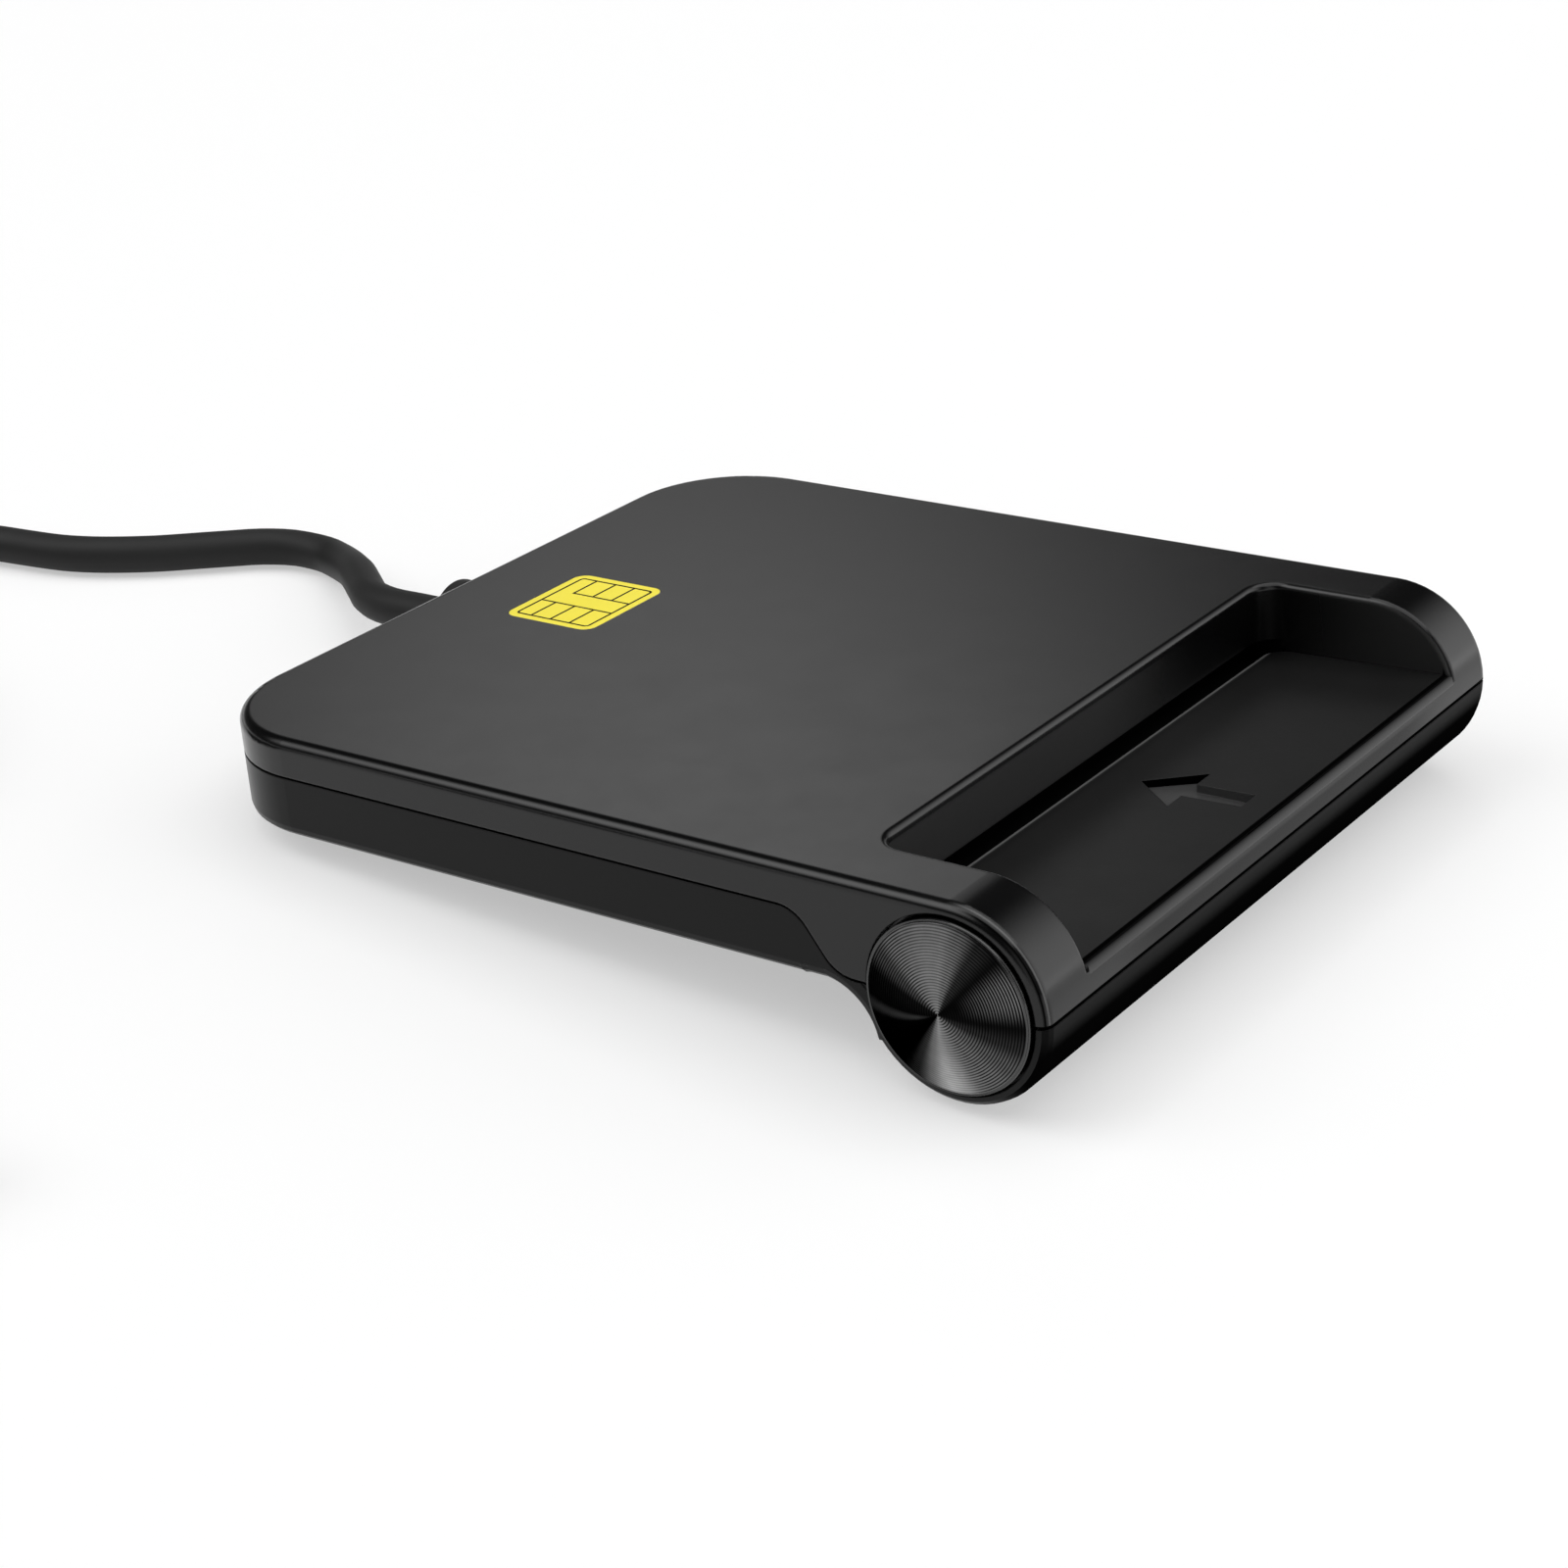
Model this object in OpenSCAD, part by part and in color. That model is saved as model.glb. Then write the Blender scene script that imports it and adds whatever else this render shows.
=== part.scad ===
/* [Body] */
// Width of the ring beside each end of the finger recess, out to the end face
ring_w = 5.81; // [5.5:0.05:8]
// From the front round's axis to the rear wall
body_l = 70.05; // [68:0.5:84]
// Radius of the front round, which also sets the top face's height over its axis
roll_r = 7.5; // [7.4:0.1:9]
// Thickness of the flat body behind the front round
slab_t = 8.1; // [7.9:0.1:9]
// Radius of the two rear corners, seen from above
corner_r = 10.1; // [8:0.1:12]
// Rounding of the body's outer edges
edge_r = 0.9; // [0.5:0.1:1]
// Radius of the hollow blend between the underside and the front round
blend_r = 4.5; // [3:0.5:6]

/* [Covers] */
// Drop of the parting line below the top face along the sides
seam_drop = 3.1; // [2.9:0.1:3.3]
// Visible groove between the two covers
seam_gap = 0.2; // [0.1:0.05:0.3]
// Radius of both bends of the parting line's step
seam_bend_r = 3; // [2:0.25:3.5]
// Steepest slope of the parting line's step, in degrees
seam_slope = 54; // [45:1:65]
// Roof of the top cover
roof_t = 1.4; // [1.2:0.1:1.5]
// Side and rear walls
side_t = 1.4; // [1.2:0.1:1.6]
// Floor of the bottom cover
floor_t = 1.2; // [1:0.1:1.4]
// Thickness of the tongue that closes the parting line from inside
tongue_t = 0.7; // [0.5:0.1:0.8]
// Height of the tongue above the parting line
tongue_h = 1; // [0.6:0.1:1.2]

/* [Card] */
// Width of an identification card
card_w = 53.98; // [53.92:0.01:54.03]
// Thickness of an identification card
card_t = 0.76; // [0.68:0.01:0.84]
// Side play of the card between the walls of the tray
card_play = 0.5; // [0.3:0.05:0.6]
// Drop of the tray below the top face, at the slot
tray_drop = 5.7; // [5.5:0.1:5.9]
// Clear height of the slot
slot_h = 0.9; // [0.88:0.02:1.1]
// Distance of the recess's rear wall behind the front round's axis
recess_l = 9.35; // [8:0.25:11]
// Distance of the card's stop in front of the rear wall
card_stop_back = 10.2; // [9.2:0.25:11.2]

/* [Tray] */
// Thickness of the tray at the slot
tray_t = 1.2; // [1.1:0.1:1.4]
// Rise of the tray from the slot to its front edge
tray_rise = 0.4; // [0:0.05:0.5]
// Gap between the tray's rear edge and the recess's rear wall
tray_gap = 0.7; // [0.4:0.05:1]
// Radius of the recess's two rear corners, seen from above
recess_corner_r = 2.2; // [1:0.1:2.5]
// Rounding of the recess's upper rim
rim_r = 0.5; // [0.3:0.05:0.6]
// Depth of the arrow in the tray
arrow_depth = 0.5; // [0.3:0.05:0.6]
// Length of the arrow
arrow_l = 8.9; // [7:0.1:10]
// Width of the arrow's head
arrow_head_w = 6.4; // [5:0.1:8]

/* [End discs] */
// Diameter of the spun discs on the ends of the front round
disc_d = 12.9; // [11.5:0.1:12.9]
// Height of the disc's rim over the end face
disc_proud = 0.3; // [0:0.05:0.5]
// Height of the disc's dome over its rim
disc_dome = 1.1; // [0.6:0.1:1.4]
// Depth of the disc's seat
disc_seat_t = 1; // [0.8:0.1:1.2]
// Gap round the disc in its seat
disc_gap = 0.2; // [0.15:0.05:0.35]

/* [Chip sign] */
// Length of the sign along the body's width
sign_w = 10.2; // [8:0.1:12]
// Length of the sign along the body
sign_l = 9; // [8:0.1:11]
// Distance of the sign's middle in front of the rear wall
sign_back = 12.95; // [9.7:0.25:19.7]
// Width of the dark lines between its fields
sign_line = 0.18; // [0.1:0.02:0.24]
// Depth of its inlay
sign_t = 0.25; // [0.2:0.05:0.4]

/* [Fasteners and feet] */
// Diameter of the cover screws' shanks
screw_d = 1.9; // [1.7:0.1:2]
// Diameter of the cover screws' heads
screw_head_d = 3.8; // [3.4:0.1:4]
// Height of the cover screws' heads
screw_head_h = 1.3; // [1:0.1:1.4]
// Distance of the front screws from the end faces
front_screw_inset = 4.4; // [4.4:0.05:4.6]
// Distance of the rear screws from the sides
rear_screw_inset = 13.3; // [12.3:0.5:15.3]
// Diameter of the rear feet
rear_foot_d = 8; // [7:0.25:8.5]
// Diameter of the front pads
front_foot_d = 4.6; // [4.6:0.1:5.4]
// Height of the front pads below the front round
pad_proud = 0.4; // [0.3:0.05:0.6]
// Height of the rear feet below the underside
rear_foot_proud = 1.62; // [1.4:0.02:2.2]

/* [Circuit board] */
// How much narrower than the card the board is, at each side
board_side = 1.49; // [1:0.01:3]
// Thickness of the board
board_t = 1; // [0.8:0.1:1]
// Gap between the board and the roof
board_gap = 0.3; // [0.2:0.05:0.4]
// Diameter of the board screws' shanks
board_screw_d = 1.6; // [1.4:0.1:1.8]
// Side of the controller chip
chip_side = 7; // [5:0.5:8]
// Height of the controller chip
chip_h = 1.2; // [1:0.1:1.3]

/* [Contacts] */
// Width of one spring contact
contact_w = 0.8; // [0.6:0.05:1]
// Thickness of one spring contact
contact_t = 0.2; // [0.15:0.01:0.25]
// Distance from a contact's root to the point that touches the card
contact_reach = 5.6; // [5.2:0.1:5.8]
// How far a free contact dips into the card's way
contact_dip = 0.5; // [0.3:0.05:0.55]
// Free travel round each contact in its chamber
contact_room = 0.3; // [0.25:0.01:0.35]

/* [Cable] */
// Diameter of the cable
cord_d = 3.4; // [3.2:0.1:3.6]
// Diameter of the flange on the cable's sleeve
flange_d = 7.2; // [6.6:0.1:7.6]
// Length of the tapered sleeve outside the flange
sleeve_l = 1; // [1:0.5:5]
// Height of the cable's exit below the top face
cord_drop = 4.1; // [3.9:0.1:4.3]
// Clear space between neighbouring turns of the coil
coil_space = 0.45; // [0.42:0.01:0.6]

/* [Plug] */
// Width of the plug's metal shell
plug_shell_w = 12; // [12:0.05:12.1]
// Height of the plug's metal shell
plug_shell_h = 4.5; // [4.4:0.05:4.6]
// Length of the metal shell outside the grip
plug_shell_l = 18.7; // [12:0.1:19]
// Width of the plug's grip
grip_w = 15.8; // [15:0.2:17]
// Height of the plug's grip
grip_h = 8; // [7.4:0.2:9]
// Length of the plug's grip
grip_l = 24; // [20:0.5:30]

/* [Hidden] */
$fn = 48;

// Overrun of every cut, and the thin slack between pieces that touch
over = 1;
slack = 0.08;
body_w = card_w + 2 * card_play + 2 * ring_w;
far = body_l + body_w;

// Heights over the front round's axis
top_z = roll_r;
under_z = top_z - slab_t;
seam_z = top_z - seam_drop;
roof_z = top_z - roof_t;
floor_z = under_z + floor_t;
card_z = top_z - tray_drop;
slot_z = card_z + slot_h;
card_top_z = card_z + card_t;
board_z = roof_z - board_gap - board_t;
cord_z = top_z - cord_drop;
half_w = body_w / 2;

// Places along the body, and across it
card_stop_l = body_l - card_stop_back;
sign_y = body_l - sign_back;
front_screw_x = half_w - front_screw_inset;
rear_screw_x = half_w - rear_screw_inset;

// Half widths of the recess and of the front round's inside, and the walls there
recess_half = card_w / 2 + card_play;
recess_wall = 1.3;
roll_wall = 1.5;
inner_half = half_w - side_t - slack - tongue_t;
seat_r = disc_d / 2 + disc_gap;
disc_r = disc_d / 2;

// The hollow blend under the body bites a little into both surfaces that it joins. This is its
// axis, its turn from straight up to the front round's axis, and its spread past both
blend_bite = 0.05;
blend_reach = 1.7;
blend_spread = 14;
blend_drop = blend_r - blend_bite - under_z;
blend_gap = roll_r + blend_r - blend_bite;
blend_y = sqrt(pow(blend_gap, 2) - pow(blend_drop, 2));
blend_turn = acos(blend_drop / blend_gap);
lower_start = 4;
// Sides of the full circle in the covers' edge roundings: three flats a quarter on the lower one
upper_sides = 48;
lower_sides = 12;

// The tray
tray_lip = 0.32;
tray_front_z = card_z + tray_rise;
tray_front_y = tray_lip - sqrt(pow(roll_r, 2) - pow(tray_front_z, 2));
tray_rear_y = recess_l - tray_gap;
tray_edge_r = 0.4;
tray_rib_t = 1.2;
tray_rib_shares = [-0.72, -0.26, 0.26, 0.72];

// The arrow, as shares of its length and of its head's half width
arrow_shares = [[0, 0.5], [1, 0.05], [0.36, 0.05], [0.36, -0.5], [-0.36, -0.5], [-0.36, 0.05], [-1, 0.05]];

// The parting line's step
seam_mid_y = 10.65;
seam_rise = seam_z;
seam_steps = 8;

// Rails and stops of the card's way
rail_t = 1.2;
rail_start = 6;
guide_t = 1.1;
guide_h = 0.9;
stop_t = 1;
stop_w = 3;
stop_over = 0.8;

// The chip sign: its band, and the lines between its fields as shares of its sides
sign_x = -0.1;
sign_corner_r = 1.15;
sign_band = 0.7;
sign_strip_shares = [-0.108, 0.118];
sign_row_shares = [-0.205, 0.017, 0.242];

// Screws and their posts
hole_play = 0.4;
pilot_play = 0.1;
screw_hole_d = screw_d + hole_play;
pilot_d = screw_d + pilot_play;
head_hole_d = screw_head_d + hole_play;
post_wall = 1;
post_d = head_hole_d + 2 * post_wall;
boss_d = 4.2;
shoulder_t = 1.2;
pilot_end = 1.2;
rear_screw_back = 4.1;
rear_screw_y = card_stop_l + rear_screw_back;
screw_thread_l = 5;
front_pilot_l = 7;
foot_seat = 0.5;
foot_slack = 0.1;
front_seat = 0.7;
post_room = 0.1;
rear_post_z = under_z + foot_seat + post_room + screw_head_h + shoulder_t;
front_post_z = -roll_r + front_seat + post_room + screw_head_h + shoulder_t;

// The circuit board and what is on it
board_w = card_w - 2 * board_side;
board_y0 = 14;
board_back = 2.5;
board_y1 = card_stop_l - board_back;
board_l = board_y1 - board_y0;
board_inset = 3.5;
board_hole_d = board_screw_d + hole_play;
board_pilot_d = board_screw_d + pilot_play;
board_boss_d = 4;
board_head_d = 3;
board_head_h = 0.9;
board_skin = 0.6;

// The contacts' places follow the card standard
contact_rows = [11.25, 18.87];
contact_from_edge = 20.08;
contact_first = card_w / 2 - contact_from_edge;
contact_pitch = 2.54;
contact_tip_l = 0.9;
contact_root_drop = 1;
contact_root_z = board_z - contact_root_drop;
contact_root_room = 0.35;
block_side = 2.2;
block_over = 0.4;
block_z = card_top_z + block_over;

// The card switch
switch_inset = 11;
switch_x = board_w / 2 - switch_inset;
switch_w = 6;
switch_l = 4.5;
switch_h = 1.6;
switch_ear_t = 0.8;
switch_ear_l = 1.7;
switch_pin_back = 1.6;
switch_pin_drop = 0.75;
switch_pin_y = card_stop_l - switch_pin_back;
switch_pin_z = board_z - switch_pin_drop;
switch_pin_r = 0.3;
switch_barrel_r = 0.5;
switch_bore_r = 0.5;
switch_flap_l = 2.6;
switch_flap_t = 0.35;
switch_room = 0.25;

// The controller, crystal, regulator and passives
chip_back = 19;
chip_x = (contact_x(3) - block_side - board_w / 2) / 2;
chip_y = board_y0 + chip_back;
chip_stand = 0.1;
leg_w = 0.25;
leg_t = 0.15;
leg_l = 1;
leg_foot = 0.5;
legs_side = 8;
leg_pitch = 0.65;
crystal_size = [5, 3.2, 1];
crystal_back = 10;
crystal_x = chip_x;
crystal_y = chip_y + crystal_back;
regulator_size = [2.9, 1.6, 1];
regulator_inset = 9.5;
regulator_back = 14;
regulator_x = board_w / 2 - regulator_inset;
regulator_y = board_y0 + regulator_back;
regulator_leg_w = 0.4;
regulator_leg_pitch = 0.95;
passive_size = [1.6, 0.8, 0.6];
passive_pitch = 2.4;
passive_count = 5;

// The cable's end inside the body
wire_d = 0.75;
wire_pitch = 0.85;
jacket_back = 2;
wire_pad_inset = 1.5;
jacket_y = card_stop_l + jacket_back;
wire_pad_y = board_y1 - wire_pad_inset;
sleeve_play = 0.05;
neck_d = 4.4;
neck_play = 0.1;
inner_flange_t = 1.8;
inner_flange_d = 2 * (min(roof_z - cord_z, cord_z - floor_z) - slack);
flange_t = 1.8;
sleeve_start_d = 4.4;
sleeve_end_d = 4;
flange_y = body_l + slack;
sleeve_y = flange_y + flange_t;
sleeve_end_y = sleeve_y + sleeve_l;

// How the body stands: it rests on the front pads and on the soles of the rear feet, which give its
// angle, and the origin is under the middle of its outline
sole_z = under_z - rear_foot_proud;
stand_z = roll_r + pad_proud;
stand_tilt = asin(stand_z / norm([rear_screw_y, sole_z])) + atan2(sole_z, rear_screw_y);
stand_y = ((body_l - edge_r) * cos(stand_tilt) + (roll_r - edge_r) * sin(stand_tilt) + edge_r - roll_r) / 2;

// A point of the body's own frame, as it stands
function standing(p) = [p[0], p[1] * cos(stand_tilt) + p[2] * sin(stand_tilt) - stand_y,
    -p[1] * sin(stand_tilt) + p[2] * cos(stand_tilt) + stand_z];

// The cable's route, from the sleeve to the coil
cord_r = cord_d / 2;
exit_point = standing([0, sleeve_end_y, cord_z]);
exit_step = [0, cord_d * cos(stand_tilt), -cord_d * sin(stand_tilt)];
free_points = [
    [0, 48.1, 4.2], [0.9, 51, 3.9], [2.8, 53.6, 3.6], [5.2, 56.7, 3.2], [7.2, 59.6, 2.5],
    [8.8, 62.5, 1.9], [9.5, 65, 1.7], [9, 68.1, 1.7], [7.4, 70.8, 1.7], [5.2, 73, 1.7],
    [3, 75.1, 1.7], [0.8, 77.2, 1.7], [-1.2, 79.5, 1.7], [-3, 82, 1.7], [-4.4, 84.7, 1.7],
    [-5.4, 87.9, 1.7], [-6.3, 91.1, 1.7], [-7.6, 94.7, 1.7], [-10, 98.7, 1.7], [-13.2, 103, 1.7],
    [-18, 106.8, 1.8], [-24, 110, 1.9], [-31, 112.3, 2], [-39, 113.3, 2.2], [-46, 113.4, 2.3]];

// The coil of the length that is put away
coil_x = -57;
coil_y = 86;
coil_mid_r = 19;
coil_turns = 4.375;
coil_steps = 24;
coil_pitch = cord_d + coil_space;
coil_out_r = coil_mid_r + coil_turns * coil_pitch / 2;
coil_in_r = coil_mid_r - coil_turns * coil_pitch / 2;
coil_dip = 0.6;
coil_first_z = 2.3;
coil_start = 90;
tie_t = 0.45;
tie_w = 4;
tie_play = 0.25;
tie_angle = 300;

// The plug lies beside the coil
plug_relief_l = 10;
plug_relief_d = 6.4;
plug_relief_end_d = 4.2;
plug_x = -84.4;
plug_y = 62;
plug_z = grip_h / 2;
plug_window = 2;
plug_window_share = 0.3;
grip_r = 2.4;
shell_wall = 0.3;
shell_inside_l = 6;
tongue_w = 11.1;
tongue_h_share = 0.42;
plug_pin_w = 1;
plug_pin_t = 0.2;
plug_pin_l = 8;
plug_pin_pitch = 2.25;

// Points of an arc from angle a to angle b
function arc(cx, cy, r, a, b, steps) =
    [for (i = [0:steps]) [cx + r * cos(a + (b - a) * i / steps), cy + r * sin(a + (b - a) * i / steps)]];

// The parting line from the front to the rear, as points along the body and up
seam_run = max(0, (seam_rise - 2 * seam_bend_r * (1 - cos(seam_slope))) / tan(seam_slope));
seam_half = seam_run / 2 + seam_bend_r * sin(seam_slope);
seam_line = concat([[-far, 0]],
    arc(seam_mid_y - seam_half, seam_bend_r, seam_bend_r, -90, seam_slope - 90, seam_steps),
    arc(seam_mid_y + seam_half, seam_rise - seam_bend_r, seam_bend_r, 90 + seam_slope, 90, seam_steps),
    [[far, seam_rise]]);

// Extrudes an outline of the body's side view, given along the body and up, across the width
module across(x0, x1) {
    translate([x0, 0, 0])
        rotate([90, 0, 90])
            linear_extrude(height = x1 - x0)
                children();
}

// Turns an outline, given as a distance from the axis and a place along it, round the width's axis
module turned_across() {
    rotate([0, 90, 0])
        rotate_extrude()
            children();
}

module stand() {
    translate([0, -stand_y, stand_z])
        rotate([-stand_tilt, 0, 0])
            children();
}

// Half of an outline whose outer corners are rounded
module rounded_end(w, h, r, sides) {
    square([w - r, h]);
    translate([0, r])
        square([w, h - 2 * r]);
    for (y = [r, h - r])
        translate([w - r, y])
            circle(r, $fn = sides);
}

// The outside of the flat body behind the front round
module flat_body(start, sides) {
    rear_y = body_l - corner_r;
    straight_l = rear_y - start;
    middle_w = half_w - corner_r;
    // Straight sides
    for (side = [0, 1])
        mirror([side, 0, 0])
            translate([0, rear_y, under_z])
                rotate([90, 0, 0])
                    linear_extrude(height = straight_l)
                        rounded_end(half_w, slab_t, edge_r, sides);
    // Straight rear
    across(-middle_w, middle_w)
        translate([rear_y, under_z])
            rounded_end(corner_r, slab_t, edge_r, sides);
    // Rear corners
    for (side = [0, 1])
        mirror([side, 0, 0])
            translate([middle_w, rear_y, under_z])
                rotate_extrude(angle = 90)
                    rounded_end(corner_r, slab_t, edge_r, sides);
}

module front_round(sides) {
    for (side = [0, 1])
        mirror([side, 0, 0])
            turned_across() {
                square([roll_r, half_w - edge_r]);
                square([roll_r - edge_r, half_w]);
                translate([roll_r - edge_r, half_w - edge_r])
                    circle(edge_r, $fn = sides);
            }
}

// The hollow blend, turned round its own axis below the underside
module underside_blend(sides) {
    for (side = [0, 1])
        mirror([side, 0, 0])
            translate([0, blend_y, -blend_drop])
                rotate([90, 0, 90])
                    rotate([0, 0, 90 - blend_spread])
                        rotate_extrude(angle = blend_turn + 2 * blend_spread)
                            translate([blend_r, 0]) {
                                square([blend_reach, half_w - edge_r]);
                                translate([edge_r, 0])
                                    square([blend_reach - edge_r, half_w]);
                                translate([edge_r, half_w - edge_r])
                                    circle(edge_r, $fn = sides);
                            }
}

module above_seam() {
    across(-half_w - over, half_w + over)
        translate([0, seam_gap / 2])
            polygon(concat(seam_line, [[far, far], [-far, far]]));
}

module below_seam() {
    across(-half_w - over, half_w + over)
        translate([0, -seam_gap / 2])
            polygon(concat(seam_line, [[far, -far], [-far, -far]]));
}

// The outsides of the two covers, each shape cut at the parting line before they join
module upper_shape() {
    intersection() {
        flat_body(0, upper_sides);
        above_seam();
    }
    intersection() {
        front_round(upper_sides);
        above_seam();
    }
}

// The lower one's three stretches are also hollowed before they join
module lower_shape() {
    hollowed_below_seam()
        flat_body(lower_start, lower_sides);
    hollowed_below_seam()
        front_round(lower_sides);
    hollowed_below_seam()
        underside_blend(lower_sides);
}

module hollowed_below_seam() {
    wall = side_t + slack + tongue_t;
    difference() {
        intersection() {
            children();
            below_seam();
        }
        rear_rounded_block(inner_half, -over, body_l - wall, floor_z, top_z, corner_r - wall);
        turned_inside(inner_half, roll_r - roll_wall);
    }
}

// A block with two rounded rear corners, from y0 to y1 and z0 to z1
module rear_rounded_block(half, y0, y1, z0, z1, r) {
    translate([-half, y0, z0])
        cube([2 * half, y1 - r - y0, z1 - z0]);
    translate([r - half, y0, z0])
        cube([2 * (half - r), y1 - y0, z1 - z0]);
    for (x = [r - half, half - r])
        translate([x, y1 - r, z0])
            cylinder(h = z1 - z0, r = r);
}

// The finger recess, open to the front
module recess_void() {
    rear_rounded_block(recess_half, -roll_r - over, recess_l, tray_front_z - slack, top_z + over, recess_corner_r);
    // Under the tray
    translate([-recess_half, 0, -over])
        cube([2 * recess_half, recess_l - recess_corner_r, card_z + 2 * over]);
    rear_rounded_block(recess_half, 0, recess_l, slot_z - slack, top_z, recess_corner_r);
    turned_inside(recess_half, roll_r - roll_wall);
    // The slot, right through the rear wall of the recess
    translate([-recess_half, 0, -over])
        cube([2 * recess_half, recess_l + recess_wall + over, slot_z + over]);
    tray_room();
}

// The inside of the front round, to a radius
module turned_inside(half, r) {
    translate([-half, 0, 0])
        rotate([0, 90, 0])
            cylinder(h = 2 * half, r = r);
}

// The space that the tray's front edge takes in the lip
module tray_room() {
    translate([-recess_half, tray_front_y - slack, card_z - tray_t - slack])
        cube([2 * recess_half, -tray_front_y, tray_t + over]);
}

// The shape that rounds a convex edge when it is cut away
module edge_cut(r) {
    difference() {
        translate([-over, 0])
            square([r + over, r + over]);
        translate([r, 0])
            circle(r);
    }
}

// Rounds the recess's rim: the rear edge, its corners, the sides and the front round's ends
module recess_rim_cut() {
    straight_y = recess_l - recess_corner_r;
    // Rear edge
    across(recess_corner_r - recess_half, recess_half - recess_corner_r)
        translate([recess_l, top_z - rim_r])
            edge_cut(rim_r);
    for (side = [0, 1])
        mirror([side, 0, 0]) {
            // Sides
            translate([recess_half, straight_y, top_z - rim_r])
                rotate([90, 0, 0])
                    linear_extrude(height = straight_y)
                        edge_cut(rim_r);
            // Corners
            translate([recess_half - recess_corner_r, straight_y, top_z - rim_r])
                rotate_extrude(angle = 90)
                    translate([recess_corner_r, 0])
                        edge_cut_out(rim_r);
            // Along the front round
            intersection() {
                turned_across()
                    difference() {
                        translate([roll_r - rim_r, recess_half])
                            square([rim_r + over, rim_r]);
                        translate([roll_r - rim_r, recess_half + rim_r])
                            circle(rim_r);
                    }
                translate([0, -far, tray_front_z - rim_r])
                    cube([far, far, far]);
            }
        }
}

// The same, without the overrun towards the axis
module edge_cut_out(r) {
    difference() {
        square([r, r + over]);
        translate([r, 0])
            circle(r);
    }
}

module disc_seats() {
    for (side = [0, 1])
        mirror([side, 0, 0])
            translate([half_w - disc_seat_t, 0, 0])
                rotate([0, 90, 0])
                    cylinder(h = disc_seat_t + over, r = seat_r);
}

// The hole in the rear wall for the cable sleeve's neck
module neck_hole() {
    translate([0, body_l + over, cord_z])
        rotate([90, 0, 0])
            cylinder(h = side_t + tongue_t + slack + 2 * over, r = neck_d / 2 + neck_play);
}

module at_front_screws() {
    for (side = [0, 1])
        mirror([side, 0, 0])
            translate([front_screw_x, 0, 0])
                children();
}

module at_rear_screws() {
    for (side = [0, 1])
        mirror([side, 0, 0])
            translate([rear_screw_x, rear_screw_y, 0])
                children();
}

module at_board_screws() {
    for (x = [-board_w / 2 + board_inset, board_w / 2 - board_inset])
        for (y = [board_y0 + board_inset, board_y1 - board_inset])
            translate([x, y, 0])
                children();
}

// A vertical round bar from z0 to z1
module bar(d, z0, z1) {
    translate([0, 0, z0])
        cylinder(h = z1 - z0, r = d / 2);
}

module top_cover() {
    hollow_y = recess_l + recess_wall;
    color([0.27, 0.27, 0.27])
        stand() {
            difference() {
                union() {
                    difference() {
                        upper_shape();
                        rear_rounded_block(half_w - side_t, hollow_y, body_l - side_t,
                            under_z - over, roof_z, corner_r - side_t);
                        recess_void();
                        recess_rim_cut();
                        disc_seats();
                        neck_hole();
                    }
                    at_rear_screws()
                        bar(boss_d, rear_post_z, roof_z + slack);
                    at_front_screws()
                        bar(boss_d, front_post_z, seam_gap);
                    at_board_screws()
                        bar(board_boss_d, board_z + board_t, roof_z + slack);
                }
                at_rear_screws()
                    bar(pilot_d, rear_post_z - over, top_z - pilot_end);
                at_front_screws()
                    bar(pilot_d, front_post_z - over, front_post_z + front_pilot_l);
                at_board_screws()
                    bar(board_pilot_d, board_z, top_z - board_skin);
                sign_recess();
            }
        }
}

// The shallow place of the chip sign in the top face
module sign_recess() {
    translate([sign_x, sign_y, top_z - sign_t])
        linear_extrude(height = sign_t + over)
            sign_outline(0);
}

module sign_outline(inset) {
    r = sign_corner_r - inset;
    w = sign_w - 2 * inset;
    l = sign_l - 2 * inset;
    square([w - 2 * r, l], center = true);
    square([w, l - 2 * r], center = true);
    for (x = [r - w / 2, w / 2 - r])
        for (y = [r - l / 2, l / 2 - r])
            translate([x, y])
                circle(r);
}

// The chip sign's fields: a band round it, four on one side, three on the other and one between
module chip_sign() {
    strip_x = sign_w * sign_strip_shares[0];
    strip_end = sign_w * sign_strip_shares[1];
    field_y = sign_band - sign_l / 2;
    corner_y = sign_l * sign_row_shares[2];
    color([1, 0.92, 0.3])
        stand()
            translate([sign_x, sign_y, top_z - sign_t])
                linear_extrude(height = sign_t)
                    difference() {
                        sign_outline(0);
                        difference() {
                            sign_outline(sign_band);
                            sign_outline(sign_band + sign_line);
                        }
                        // Lines along the body
                        translate([strip_x - sign_line / 2, field_y])
                            square([sign_line, -2 * field_y]);
                        translate([strip_end - sign_line / 2, field_y])
                            square([sign_line, corner_y - field_y + sign_line / 2]);
                        // Lines across it
                        for (share = sign_row_shares) {
                            translate([sign_band - sign_w / 2, share * sign_l - sign_line / 2])
                                square([strip_x + sign_w / 2 - sign_band, sign_line]);
                            translate([strip_end, share * sign_l - sign_line / 2])
                                square([sign_w / 2 - sign_band - strip_end, sign_line]);
                        }
                    }
}

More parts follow.
